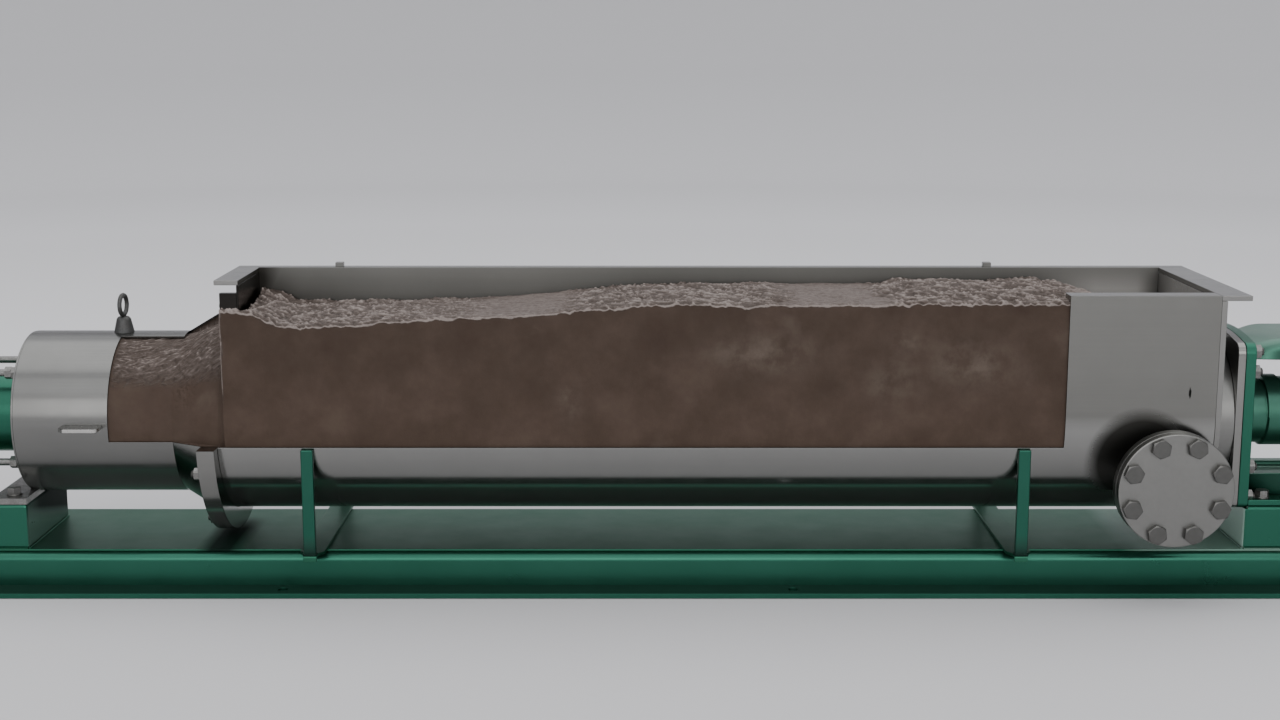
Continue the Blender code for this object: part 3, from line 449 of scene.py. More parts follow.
def noise(tree, where, scale, detail=4.0, roughness=0.55, warp=0.0):
    """Soft clouds from 0 to 1. Their size is about one metre divided by the scale."""
    return node(tree, "ShaderNodeTexNoise", Vector=where, Scale=scale, Detail=detail, Roughness=roughness,
                Distortion=warp)


def between(tree, value, low, high, first=0.0, last=1.0):
    """A straight ramp: the first value up to low, the last value from high on."""
    ends = {"From_Min": low, "From_Max": high, "To_Min": first, "To_Max": last}
    return node(tree, "ShaderNodeMapRange", Value=value, **ends)


def ramp(tree, value, *stops):
    """A colour for each value: stops are (position, grey or colour)."""
    made = tree.nodes.new("ShaderNodeValToRGB")
    connect(made, Fac=value)
    elements = made.color_ramp.elements
    while len(elements) < len(stops):
        elements.new(0.5)
    for element, (position, colour) in zip(elements, stops):
        element.position = position
        element.color = (*colour, 1) if isinstance(colour, tuple) else (colour, colour, colour, 1)
    return Value(made.outputs["Color"])


def mix(tree, share, first, second, blend="MIX"):
    """From the first colour to the second. A second colour that is three numbers is typed in."""
    second = (*second, 1) if isinstance(second, tuple) else second
    settings = {"data_type": "RGBA", "blend_type": blend}
    return node(tree, "ShaderNodeMix", settings, output=2, _0=share, _6=first, _7=second)


def bump(tree, height, strength, distance, under=None):
    """A relief of its own, or one that lies on top of another."""
    lower = {"Normal": under} if under else {}
    return node(tree, "ShaderNodeBump", Height=height, Strength=strength, Distance=distance, **lower)


def facing(tree, axis="Z"):
    """How far a surface looks along an axis, from -1 to 1."""
    normal = node(tree, "ShaderNodeNewGeometry", output="Normal")
    return node(tree, "ShaderNodeSeparateXYZ", output=axis, Vector=normal)


def upward(tree):
    """How far a surface faces up, from 0 on a wall to 1 on a floor."""
    return node(tree, "ShaderNodeClamp", Value=facing(tree))


print("helpers for finishes:", [helper.__name__ for helper in (noise, between, ramp, mix, bump, facing)])

# %% [markdown]
# ## Green enamel
#
# The base, the lantern and the tube are sprayed dark green. The photograph shows the paint
# with long metallic gleams, so most of its look is a metal's: glossy, with a fine orange
# peel, and pale dust on every face that looks up. Painted shade and painted light are matt.
# They are mixed in by share, and the same share takes the metal's gloss away.

# %% Green enamel
ENAMEL_METAL, ENAMEL_SHINE = 0.92, 0.5
# Near-black for painted shade on the enamel.
PAINTED_SHADE_BLACK = (0.003, 0.010, 0.007)
GREENS = (0.024, 0.118, 0.077), (0.029, 0.134, 0.089)
# Pale grey-green for painted light on the enamel.
PAINTED_LIGHT_GREY = (0.140, 0.215, 0.180)


def green_enamel(name, low=0.27, tones=GREENS, painted_shade=None, painted_light=None, painted_light_colour=PAINTED_LIGHT_GREY):
    """painted_shade and painted_light are functions that give how much black painted shade or pale
    painted light lies on each point, from 0 to 1. The peel and the slow waves are bumps of less than a
    millimetre."""
    material, tree, shader = new_finish(name)
    where = place(tree)
    colour = ramp(tree, noise(tree, where, 3.0, 3.0), (0.3, tones[0]), (0.7, tones[1]))
    patches = ramp(tree, noise(tree, where, 9.0, 5.0, 0.6), (0.3, 0.2), (0.75, 1.0))
    settled = upward(tree) * patches * 0.04
    colour = mix(tree, settled, colour, (0.28, 0.33, 0.28))
    rough = ramp(tree, noise(tree, where, 14.0, 5.0, 0.6), (0.3, low), (0.7, low + 0.06)) + settled
    metal, shine = ENAMEL_METAL, ENAMEL_SHINE
    # Painted shade turns the enamel black and matt, painted light makes it pale and matt.
    if painted_shade:
        share = painted_shade(tree)
        colour = mix(tree, share, colour, PAINTED_SHADE_BLACK)
        rough = rough + share * 0.3
        metal = between(tree, share, 0.0, 1.0, ENAMEL_METAL, 0.04)
        shine = between(tree, share, 0.0, 1.0, ENAMEL_SHINE, 0.05)
    if painted_light:
        share = painted_light(tree)
        colour = mix(tree, share, colour, painted_light_colour)
        painted_light_metal = between(tree, share, 0.0, 1.0, ENAMEL_METAL, 0.10)
        metal = maths(tree, "MINIMUM", painted_light_metal, metal) if painted_shade else painted_light_metal
    peel = bump(tree, noise(tree, where, 420.0, 2.0), 0.05, 0.0003)
    waves = bump(tree, noise(tree, where, 18.0, 2.0), 0.03, 0.0010, peel)
    connect(shader, Base_Color=colour, Roughness=rough, Metallic=metal, Specular_IOR_Level=shine)
    connect(shader, Normal=waves)
    return material


GREEN = green_enamel("green_enamel")
print("plain finish:", GREEN.name)

# %% Where painted shade and painted light lie on the enamel


def foot_painted_shade(tree):
    """Painted shade: the upper side of the rails' feet is darkened almost to black, as under the rails'
    overhang.
    """
    return between(tree, upward(tree), 0.7, 0.9) * 0.84


def post_foot_painted_shade(tree):
    """Painted shade: the posts are black where they stand on the deck, fading out 41 mm higher up."""
    return between(tree, along(tree, "Z"), 0.084, 0.125, 0.93, 0.0)


def ring_painted_shadow(tree):
    """Painted shadow and reflection of the ring flange on the deck's near half: a soft dark stripe at X
    -0.63.
    """
    x = along(tree, "X")
    stripe = between(tree, x, -0.682, -0.650) * between(tree, x, -0.612, -0.580, 1.0, 0.0)
    return stripe * between(tree, along(tree, "Y"), 0.00, 0.09, 1.0, 0.0) * 0.95


def deck_painted_light(tree):
    """Painted light on the deck from X 1.15 on, below the port and past the hopper's right end, where the
    trough no longer shades it.
    """
    return between(tree, along(tree, "X"), 1.150, 1.195, 0.0, 0.62)


def lantern_side_painted_reflection(tree):
    """Painted reflection of the lit deck on the side of the lantern's pedestal that faces the port."""
    return between(tree, facing(tree, "X"), -0.9, -0.6, 0.95, 0.0)


def slanting_line(tree):
    """Height above a line that falls towards the back: Z + 0.245 Y."""
    return along(tree, "Z") + along(tree, "Y") * 0.245


def right_side(tree):
    """1 on faces that look to the right, 0 on all others."""
    return between(tree, facing(tree, "X"), 0.6, 0.9)


def low_painted_reflection(tree):
    """Painted reflection of the deck on the right side of the chamber's pedestal, up to the slanting line."""
    return between(tree, slanting_line(tree), 0.098, 0.125, 0.55, 0.0) * right_side(tree)


def far_painted_shade(tree):
    """Painted shade above the line on the same side, under the chamber, black towards the back."""
    above = between(tree, slanting_line(tree), 0.098, 0.128)
    return above * between(tree, along(tree, "Y"), -0.19, -0.08, 0.40, 0.97) * right_side(tree)


def bridge_top_painted_light(tree):
    """Painted light: the tops of the lantern's bridges are pale."""
    return upward(tree) * 0.60


def bridge_painted_shade(tree):
    """Painted shade on the bridges' undersides and upright faces, fading out on faces that look up."""
    return between(tree, facing(tree), 0.0, 0.30, 0.62, 0.0)


def housing_painted_light(tree):
    """Painted light: the seal housing is lightened all round, a little more on top."""
    return between(tree, facing(tree), -1.0, 1.0, 0.08, 0.20)


POST_GREENS = (0.020, 0.098, 0.066), (0.024, 0.110, 0.075)
DECK_GREENS = (0.025, 0.115, 0.070), (0.030, 0.132, 0.081)
GREEN_FOOT = green_enamel("green_foot_enamel", painted_shade=foot_painted_shade)
GREEN_POST = green_enamel("green_post_enamel", tones=POST_GREENS, painted_shade=post_foot_painted_shade)
# The deck carries the painted shadow and reflection under the ring and the painted light below the port.
GREEN_DECK = green_enamel("green_deck_enamel", 0.36, DECK_GREENS, ring_painted_shadow, deck_painted_light, (0.20, 0.315, 0.26))
GREEN_LEFT = green_enamel("green_chamber_pedestal", painted_shade=far_painted_shade, painted_light=low_painted_reflection)
# The lantern pedestal's pale green is the colour of its painted reflection.
GREEN_RIGHT = green_enamel("green_lantern_pedestal", painted_light=lantern_side_painted_reflection, painted_light_colour=(0.44, 0.61, 0.53))
GREEN_BRIDGE = green_enamel("green_bridge", painted_shade=bridge_painted_shade, painted_light=bridge_top_painted_light)
GREEN_HOUSING = green_enamel("green_housing", painted_light=housing_painted_light)

# %% [markdown]
# ## Stainless steel
#
# The hopper and the chamber are rolled stainless sheet with a satin brushed face. Brushing
# draws long hairlines, so the noise is stretched along X and very fine across it. The
# hairlines change the roughness and lift a faint bump, and slow clouds of handling marks
# keep the sheet from looking like a flat grey. Ground plates and bolts have an even grain.

# %% Stainless steel, brushed or ground
BRUSHED, GROUND = (2.0, 260.0, 260.0), (90.0, 90.0, 90.0)
SHEET_GREY = (0.23, 0.228, 0.217)
SAWN_GREY = (0.024, 0.022, 0.020)
SAW_REACH = 0.0007


def sawn(tree, colour):
    """Darken a colour on the upright saw cut: where Y is within the saw's reach of the plane."""
    away = maths(tree, "ABSOLUTE", along(tree, "Y") - CUT_PLANE)
    return mix(tree, maths(tree, "LESS_THAN", away, SAW_REACH), colour, SAWN_GREY)


def stainless(name, colour=SHEET_GREY, low=0.13, high=0.20, brush=BRUSHED, waves=0.05, stained=None, cut=True,
              underside_painted_light=0.30):
    """stained is a function that takes the tree, the tone and the roughness, and gives them with
    the stains and painted shade and with the share of matt film. Undersides get a pale matt
    film anyway, a painted reflection of the lit floor."""
    material, tree, shader = new_finish(name)
    hair = noise(tree, place(tree, brush), 1.0, 3.0, 0.6)
    clouds = noise(tree, place(tree), 7.0, 5.0, 0.6)
    smears = noise(tree, place(tree, (1.0, 1.0, 0.35)), 26.0, 4.0, 0.62)
    tone = ramp(tree, clouds, (0.32, tuple(c * 0.93 for c in colour)), (0.68, colour))
    tone = mix(tree, ramp(tree, hair, (0.35, 0.0), (0.75, 0.03)), tone, (0.62, 0.61, 0.58))
    rough = ramp(tree, mix(tree, 0.5, hair, smears), (0.35, low), (0.65, high))
    # A pale matt film on the undersides: painted reflection of the lit floor.
    film = between(tree, facing(tree), -0.95, -0.45, underside_painted_light, 0.0)
    tone = mix(tree, film, tone, (0.30, 0.335, 0.31))
    if stained:
        tone, rough, matt = stained(tree, tone, rough)
        film = maths(tree, "MAXIMUM", film, matt)
    tone = sawn(tree, tone) if cut else tone
    lines = bump(tree, hair, 0.025, 0.0003)
    dents = bump(tree, noise(tree, place(tree), 5.0, 2.0), waves, 0.004, lines)
    metal = maths(tree, "SUBTRACT", 1.0, film)
    connect(shader, Base_Color=tone, Roughness=rough, Metallic=metal, Normal=dents)
    return material


STEEL = stainless("stainless_sheet")
print("plain finish:", STEEL.name)

# %% Films, stains and painted shade on the hopper
# Brown of the darkening inside the hopper; in the left corner and on the left end wall it is painted shade.
DARKENING_BROWN = (0.030, 0.027, 0.023)
WALL_DARKENING = ((0.0, 1.0), (0.020, 0.95), (0.045, 0.55), (0.11, 0.18), (0.17, 0.12), (0.30, 0.30), (0.42, 0.85),
             (0.72, 0.95), (0.83, 1.0), (0.875, 0.6), (0.915, 0.12), (0.985, 0.15), (1.0, 0.9))


def wall_darkening_and_dry(tree, tone, x, z, inside):
    """The far wall darkens inside from its top edge down to the cake, most in the left corner,
    where it is painted shade, and from the middle on, while the right end has dried pale."""
    strength = ramp(tree, between(tree, x, -0.60, 1.303), *WALL_DARKENING)
    film = between(tree, z, 0.530, 0.592, 0.70, 0.08) + between(tree, strength, 0.0, 1.0, -0.12, 0.16)
    film = film * between(tree, strength, 0.0, 1.0, 0.5, 1.0)
    # Painted shade in the left corner.
    corner = between(tree, x, -0.600, -0.550, 1.0, 0.0)
    film = maths(tree, "MINIMUM", maths(tree, "MAXIMUM", film, corner), 1.0)
    tone = mix(tree, film * inside * 0.90, tone, DARKENING_BROWN)
    dry = between(tree, x, 1.04, 1.17) * between(tree, x, 1.26, 1.30, 1.0, 0.25)
    dry = dry * between(tree, z, 0.548, 0.590, 0.80, 0.10) * inside
    return mix(tree, dry, tone, (0.36, 0.35, 0.33)), dry


def port_painted_shadow(tree, x, z, near):
    """Painted shadow and reflection of the port on the sheet round it, within 108 mm of a point beside it."""
    away = distance(tree, x - 1.165, z - 0.270)
    return between(tree, away, 0.079, 0.108, 1.0, 0.0) * near * maths(tree, "GREATER_THAN", z, 0.20)


def dried_run(tree, x, z, near):
    """One run, 6 mm wide and 25 mm long, with a ragged edge."""
    across, down = (x - 1.2515) / 0.0030, (z - 0.405) / 0.0125
    size = across * across + down * down + noise(tree, place(tree), 260.0, 2.0)
    return between(tree, size, 0.9, 1.3, 1.0, 0.0) * near


def hopper_stains_and_shade(tree, tone, rough):
    """Painted shade makes the upright walls darker than the round bottom. On top of that come the
    darkening inside, the painted shadow round the port and the dried run."""
    x, y, z = (along(tree, axis) for axis in "XYZ")
    # Painted shade: the upright walls are darkened, and the round bottom below Z 0.33 is lightened a little.
    walls = mix(tree, 1.0, tone, (0.775, 0.77, 0.755), "MULTIPLY")
    tone = mix(tree, between(tree, z, 0.33, 0.36), tone, walls)
    tone = mix(tree, between(tree, z, 0.33, 0.36, 0.12, 0.0), tone, (0.6, 0.6, 0.58))
    inside = maths(tree, "GREATER_THAN", y, 0.20)
    near = maths(tree, "LESS_THAN", y, -0.05)
    tone, dry = wall_darkening_and_dry(tree, tone, x, z, inside)
    port_shadow = port_painted_shadow(tree, x, z, near)
    tone = mix(tree, port_shadow * 0.93, tone, (0.020, 0.0195, 0.017))
    tone = mix(tree, dried_run(tree, x, z, near), tone, (0.012, 0.012, 0.011))
    return tone, rough + inside * 0.25 + port_shadow * 0.25, dry


def shaded_inside(tree, tone, rough):
    """Painted shade: the left end wall is darkened below the rim."""
    return mix(tree, between(tree, along(tree, "Z"), 0.584, 0.590, 0.78, 0.0), tone, DARKENING_BROWN), rough, 0.0


def right_inside(tree, tone, rough):
    """The right end wall is pale with dried film on the side that meets the cake."""
    dry = between(tree, facing(tree, "X"), -0.9, -0.6, 0.5, 0.0)
    dry = dry * between(tree, along(tree, "Y"), 0.10, 0.20, 1.0, 0.35)
    return mix(tree, dry, tone, (0.30, 0.29, 0.27)), rough, dry


def lug_top_painted_reflection(tree, tone, rough):
    """Painted reflection: the lugs' upper sides are dark, and their edges keep the pale base colour as a
    painted highlight.
    """
    return mix(tree, upward(tree) * 0.85, tone, (0.02, 0.02, 0.019)), rough, 0.0


STEEL_HOPPER = stainless("stainless_hopper", (0.229, 0.228, 0.218), waves=0.03, stained=hopper_stains_and_shade,
                         underside_painted_light=0.13)
# The left end wall's darker base colour is painted shade as well.
STEEL_LEFT = stainless("stainless_left_painted_shade", (0.170, 0.169, 0.163), 0.20, 0.27, stained=shaded_inside)
STEEL_RIM = stainless("stainless_rim", cut=False)
STEEL_END = stainless("stainless_end_wall", stained=right_inside)
# The pipe's darker base colour is painted shade: the chamber reflects less light than the hopper.
STEEL_PIPE = stainless("stainless_pipe", (0.185, 0.184, 0.177), 0.20, 0.27, underside_painted_light=0.40)
STEEL_ROUGH = stainless("stainless_collar", (0.205, 0.204, 0.195), 0.30, 0.38)
STEEL_PLATE = stainless("stainless_plate", (0.207, 0.206, 0.196), 0.28, 0.40, GROUND)
# The lugs' pale base colour is a painted highlight on their edges.
STEEL_LUG = stainless("stainless_lug", (0.50, 0.49, 0.47), 0.22, 0.30, GROUND, stained=lug_top_painted_reflection)
STEEL_BOLT = stainless("stainless_bolt", (0.105, 0.104, 0.099), 0.32, 0.42, GROUND)

# %% [markdown]
# ## Zinc-plated fasteners
#
# Bolts, nuts and tie rods are plated. Zinc is greyer and softer than stainless, with a fine
# crystalline mottle that a cell texture gives. The lifting eye has gone dull.

# %% Zinc plating


def zinc_plate(name, light, low):
    """light is the palest tone of the crystals, and low the roughness of the glossiest spots."""
    material, tree, shader = new_finish(name)
    where = place(tree)
    crystals = node(tree, "ShaderNodeTexVoronoi", output="Distance", Vector=where, Scale=420.0)
    tone = ramp(tree, crystals, (0.0, tuple(c * 0.68 for c in light)), (0.8, light))
    grime = ramp(tree, noise(tree, where, 60.0, 4.0), (0.42, 0.0), (0.72, 0.45))
    tone = mix(tree, grime, tone, (0.10, 0.094, 0.085))
    rough = ramp(tree, noise(tree, where, 130.0), (0.3, low), (0.7, low + 0.18))
    relief = bump(tree, crystals, 0.15, 0.0003)
    connect(shader, Base_Color=tone, Roughness=rough, Metallic=1.0, Normal=relief)
    return material


ZINC = zinc_plate("zinc_plate", (0.25, 0.248, 0.238), 0.32)
ZINC_DULL = zinc_plate("zinc_plate_dull", (0.118, 0.118, 0.116), 0.55)
print("finishes:", ZINC.name, ZINC_DULL.name)

# %% [markdown]
# ## The base
#
# The base is folded from plate: two rails with a rounded shoulder and feet turned outwards,
# and a flat deck between them. The shoulder is a real bend, so a smooth arc matters more
# there than anywhere else on the base, because it catches one long highlight.

# %% Folded rails
RAIL_FACE, RAIL_RADIUS, RAIL_SHEET, RAIL_LIP = 0.168, 0.016, 0.006, 0.118
DECK_LOW, DECK_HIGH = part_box("deck_plate")
BASE_LEFT, BASE_RIGHT = DECK_LOW.x, DECK_HIGH.x
SEAT = 0.0003


def rail(side):
    """The section from the lip under the deck over the bend to the floor, copied along X."""
    top = DECK_LOW.z - SEAT
    bend = (RAIL_FACE - RAIL_RADIUS, top - RAIL_RADIUS)
    angle = np.linspace(np.pi / 2, 0, 19)
    section = np.vstack([
        [(RAIL_LIP, top)],
        arc_points(RAIL_RADIUS, angle, bend),
        [(RAIL_FACE, 0), (RAIL_FACE - RAIL_SHEET, 0)],
        arc_points(RAIL_RADIUS - RAIL_SHEET, angle[::-1], bend),
        [(RAIL_LIP, top - RAIL_SHEET)],
    ])
    return extruded(section * (side, 1), "X", BASE_LEFT, BASE_RIGHT)


print("a rail of", round(BASE_RIGHT - BASE_LEFT, 3), "m has", count_faces(rail(1)), "faces")

# %% [markdown]
# ## Feet with foundation holes
#
# Holes are the one thing that a grid does not like. The trick used here is a square patch
# whose inner edge is a circle: each point on the square's edge looks at the centre, and its
# partner sits on the circle in the same direction. Plain strips fill the rest, the seams are
# welded, and a Solidify modifier gives the sheet its thickness.

# %% A sheet with round holes
FOOT_EDGE, FOOT_TOP, FOOT_HOLE = 0.226, 0.0095, 0.010
FOOT_WIDTH = FOOT_EDGE - RAIL_FACE
HOLE_X = (-1.5, -0.5, 0.5, 1.5)


def flat_patch(rows, ring=False):
    """Join rows of flat points. A ring's rows close on themselves."""
    index = np.arange(rows.size // 2).reshape(rows.shape[:2])
    if ring:
        index = np.hstack([index, index[:, :1]])
    return rows.reshape(-1, 2), [cells(index)[..., ::-1].reshape(-1, 4)]


def holed_sheet(spans, holes, width, hole_radius, count=8):
    """Patches along u with v from -width / 2 to width / 2. spans are plain (u0, u1) strips, and
    holes are the u of round holes in square patches. The row between a hole and its square
    lies at 0.55 of the circle and 0.45 of the square."""
    half = width / 2
    edge = np.linspace(-1, 1, count, endpoint=False)
    one = np.ones(count)
    sides = (edge, -one), (one, edge), (-edge, one), (-one, -edge)
    square = np.vstack([np.column_stack(side) for side in sides])
    ring = square / np.linalg.norm(square, axis=1, keepdims=True) * hole_radius
    square = square * half
    rows = np.stack([ring, 0.55 * ring + 0.45 * square, square])
    patches = [flat_patch(rows + (u, 0), ring=True) for u in holes]
    v = np.linspace(-half, half, count + 1)
    for span in spans:
        strip = np.stack([np.column_stack([np.full_like(v, u), v]) for u in span])
        patches.append(flat_patch(strip))
    return together(patches)


def thicken(obj, thickness, edge=0.0005):
    """Give a sheet its thickness inwards, and break its edges by half a millimetre."""
    solid = obj.modifiers.new("thickness", "SOLIDIFY")
    solid.thickness, solid.offset = thickness, -1.0
    broken = obj.modifiers.new("broken edges", "BEVEL")
    broken.width, broken.segments, broken.limit_method = edge, 2, "ANGLE"
    broken.angle_limit, broken.harden_normals = np.radians(50), True


edges = [BASE_LEFT] + [x + side * FOOT_WIDTH / 2 for x in HOLE_X for side in (-1, 1)] + [BASE_RIGHT]
uv, faces = holed_sheet(list(zip(edges[::2], edges[1::2])), HOLE_X, FOOT_WIDTH, FOOT_HOLE)
for side, name in ((-1, "near"), (1, "far")):
    middle = side * (RAIL_FACE + FOOT_EDGE) / 2
    points = np.column_stack([uv[:, 0], uv[:, 1] + middle, np.full(len(uv), FOOT_TOP)])
    piece(f"{name}_rail", [rail(side)], GREEN, [f"base_rail_{name}"], sharp=30)
    foot = piece(f"{name}_rail_foot", [(points, faces)], GREEN_FOOT)
    foot.modifiers.new("welded seams", "WELD").merge_threshold = 0.00005
    thicken(foot, FOOT_TOP)

# %% Deck
piece("deck", [block(DECK_LOW, DECK_HIGH)], GREEN_DECK, ["deck_plate"], bevel=0.0012)

# %% [markdown]
# ## Pedestals and feet
#
# The pedestals are plain welded boxes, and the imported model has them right, so they keep
# their CAD mesh and only get the enamel. What the plain boxes lack is the weld along their
# foot and the bolts that hold the feet down.

# %% Finishes for the nodes that keep their CAD mesh
PEDESTALS = ("chamber_pedestal", "lantern_pedestal", "bearing_pedestal", "outlet_pedestal")
BASE_INSIDE = ("base_end_left", "base_end_right", "base_tie_left", "base_tie_middle", "base_tie_right")
kept_nodes = dict.fromkeys(PEDESTALS + BASE_INSIDE + ("bearing_foot",), GREEN)
kept_nodes.update(chamber_pedestal=GREEN_LEFT, lantern_pedestal=GREEN_RIGHT)
kept_nodes.update(chamber_foot=ZINC, outlet_saddle=ZINC)
for name, finish in kept_nodes.items():
    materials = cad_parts[name].data.materials
    materials.clear()
    materials.append(finish)
print("nodes that keep their CAD mesh:", len(kept_nodes))

# %% Welds round the pedestals
WELD_RADIUS, WELD_INSET, WELD_HEIGHT = 0.0018, 0.004, DECK_HIGH.z + 0.001
seams = []
for name in PEDESTALS:
    low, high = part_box(name)
    y0, y1 = low.y + WELD_INSET, high.y - WELD_INSET
    x0, x1 = low.x + WELD_INSET, high.x - WELD_INSET
    ends = [((x0, y), (x1, y)) for y in (y0, y1)] + [((x, y0), (x, y1)) for x in (low.x, high.x)]
    seams += [bead([(*start, WELD_HEIGHT), (*end, WELD_HEIGHT)], WELD_RADIUS) for start, end in ends]
piece("pedestal_welds", seams, GREEN_DECK, sharp=80)

# %% Bolts on the feet
FOOT_BOLT = (0.024, 0.013, 0.003)
saddle_low, saddle_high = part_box("outlet_saddle")
bolted_feet = (
    ((-1.042,), 0.120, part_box("chamber_foot")[1].z, 0.3),
    ((1.432, 1.515), 0.127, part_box("lantern_foot_near")[1].z, 0.5),
    ((1.730, 1.795), 0.122, 0.177, 0.2),
    ((saddle_low.x + 0.025, saddle_high.x - 0.025), 0.128, 0.181, 0.4),
)
foot_bolts = [aimed(bolt(*FOOT_BOLT), "+Z", (x, side * y, z), turn)
              for places, y, z, turn in bolted_feet for x in places for side in (-1, 1)]
piece("foot_bolts", foot_bolts, ZINC)
feet = ["lantern_foot_near", "lantern_foot_far"]
piece("lantern_feet", [block(*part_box(name)) for name in feet], GREEN, feet, bevel=0.002)

# %% [markdown]
# ## Trough supports
#
# Two pairs of upright flats hold the trough. Each pair stands on a flat bar that crosses the
# deck and is bent down over its edge. A bent flat is a strip with a path for its outer and
# its inner face, so the width can narrow towards the tip in the same formula.

# %% Cross bars with bent tips
SUPPORTS = {"left": -0.4415, "right": 0.9405}
BAR_LEVEL, BAR_SHEET, BAR_REACH, BAR_LIP = DECK_HIGH.z + SEAT, 0.006, 0.217, 0.014
BAR_SHOULDER = (0.205, 0.186)
TIP_HALF, BAR_HALF = 0.013, 0.0245


def cross_bar(x):
    """Stations along the path: up the lip, round a bend of 6 mm, across, and down again. The
    bar widens from the tips to its middle between the two shoulder stations."""
    angle = np.linspace(0, np.pi / 2, 7)
    inside, top = BAR_REACH - BAR_SHEET, BAR_LEVEL + BAR_SHEET
    outer = np.vstack([[(BAR_REACH, top - BAR_LIP)], arc_points(BAR_SHEET, angle, (inside, BAR_LEVEL)),
                       [(y, top) for y in BAR_SHOULDER]])
    inner = np.vstack([[(inside, top - BAR_LIP)], [(inside, BAR_LEVEL)] * len(angle),
                       [(y, BAR_LEVEL) for y in BAR_SHOULDER]])
    half = np.array([TIP_HALF] * (len(outer) - 1) + [BAR_HALF])
    outer = np.vstack([outer, outer[::-1] * (-1, 1)])
    inner = np.vstack([inner, inner[::-1] * (-1, 1)])
    half = np.concatenate([half, half[::-1]])
    grid = np.empty((len(half), 4, 3))
    grid[..., 0] = x + half[:, None] * np.array([-1, 1, 1, -1])
    grid[:, :2, 1:], grid[:, 2:, 1:] = outer[:, None], inner[:, None]
    return skin(grid)


for side, x in SUPPORTS.items():
    piece(f"{side}_cross_bar", [cross_bar(x)], GREEN_DECK, [f"cross_bar_{side}"], bevel=0.0008)

# %% Upright posts, shaped to the trough where they touch it
TROUGH_RADIUS, TROUGH_Z = 0.214, 0.346
POST_FOOT, POST_TOP, POST_PAD = BAR_LEVEL + 0.0063, 0.2935, 0.030
POST_FACE, POST_BACK, POST_HALF = 0.217, 0.205, 0.012
TOUCH = TROUGH_RADIUS + 0.0006


def post(x, side):
    """A 24 x 12 mm flat. Its inner edge leaves the upright line near the top and follows the
    trough's circle, y = sqrt(R^2 - z^2)."""
    level = np.linspace(POST_TOP - POST_PAD, POST_TOP, 9)
    pad = np.column_stack([np.sqrt(TOUCH**2 - (level - TROUGH_Z) ** 2), level])
    foot = [(POST_FACE, POST_FOOT), (POST_BACK, POST_FOOT), (POST_BACK, POST_TOP - POST_PAD)]
    outline = np.vstack([foot, pad, [(POST_FACE, POST_TOP)]])
    return extruded(outline * (side, 1), "X", x - POST_HALF, x + POST_HALF)


post_welds = []
for name, x in SUPPORTS.items():
    for label, side in (("near", -1), ("far", 1)):
        replaced = [f"post_{name}_{label}"]
        piece(f"{name}_post_{label}", [post(x, side)], GREEN_POST, replaced, bevel=0.0038, segments=4)
        y0, y1 = sorted((side * POST_BACK, side * (POST_FACE - 0.0005)))
        x0, x1, z = x - POST_HALF, x + POST_HALF, BAR_LEVEL + 0.0065
        corners = [(x0, y0, z), (x1, y0, z), (x1, y1, z), (x0, y1, z)]
        post_welds.append(bead(corners, 0.0022, closed=True))
piece("post_welds", post_welds, GREEN_POST, sharp=80)

# %% [markdown]
# ## The hopper shell
#
# One sheet makes the whole U: down the near wall, round the trough and up the far wall. It
# is a grid of two numbers, the place along X and the length walked round the U. The faces
# inside the cut are simply not made, and Solidify gives the sheet its 4.5 mm, inwards, so
# that the outside stays where the CAD model has it.

# %% The U sheet with its window
HOPPER_LEFT, HOPPER_RIGHT = -0.614, 1.303
SHEET = 0.0045
RIM_TOP = 0.5926
WINDOW_RIGHT = 1.016
EDGE = 0.001


def rolled(name, shape, material, replaced, height, sheet):
    """A sheet round an axis along X at a height. Faces that look inwards are turned outwards,
    and Solidify gives the thickness."""
    obj = piece(name, [shape], material, replaced, sharp=60)
    faces = obj.data.polygons
    outwards = np.mean([f.normal.y * f.center.y + f.normal.z * (f.center.z - height) for f in faces])
    if outwards < 0:
        obj.data.flip_normals()
    thicken(obj, sheet)
    print(name, "faced outwards at once:", outwards > 0)


def trough_arc(start, end, steps):
    """Points on the trough's outside, (Y, Z), from one angle to another."""
    return arc_points(TROUGH_RADIUS, np.linspace(start, end, steps), (0, TROUGH_Z))


def hopper_shell():
    """Rows along X, columns round the U. The columns up to the cut level exist only where x is
    beyond the window's right edge."""
    cut_angle = np.pi + np.arcsin((TROUGH_Z - CUT_LEVEL) / TROUGH_RADIUS)
    wall = np.linspace(TROUGH_Z, RIM_TOP, 9)
    near_wall = np.column_stack([np.full(9, -TROUGH_RADIUS), wall[::-1]])
    far_wall = np.column_stack([np.full(9, TROUGH_RADIUS), wall])
    above, below = trough_arc(np.pi, cut_angle, 6), trough_arc(cut_angle, 2 * np.pi, 91)
    section = np.vstack([near_wall, above[1:], below[1:], far_wall[1:]])
    left = np.linspace(HOPPER_LEFT, WINDOW_RIGHT, 34)
    right = np.linspace(WINDOW_RIGHT, HOPPER_RIGHT, 8)[1:]
    x = np.concatenate([left, right])
    grid = np.empty((len(x), len(section), 3))
    grid[..., 0], grid[..., 1:] = x[:, None], section
    index = np.arange(grid.size // 3).reshape(grid.shape[:2])
    first_kept = len(near_wall) + len(above) - 2
    column = np.arange(len(section) - 1)[None, :]
    return standing_faces(grid, index, (x[1:, None] > WINDOW_RIGHT + EDGE) | (column >= first_kept))


rolled("hopper_shell", hopper_shell(), STEEL_HOPPER, ["trough_bottom", "hopper_wall_far", "hopper_wall_near"],
       TROUGH_Z, SHEET)

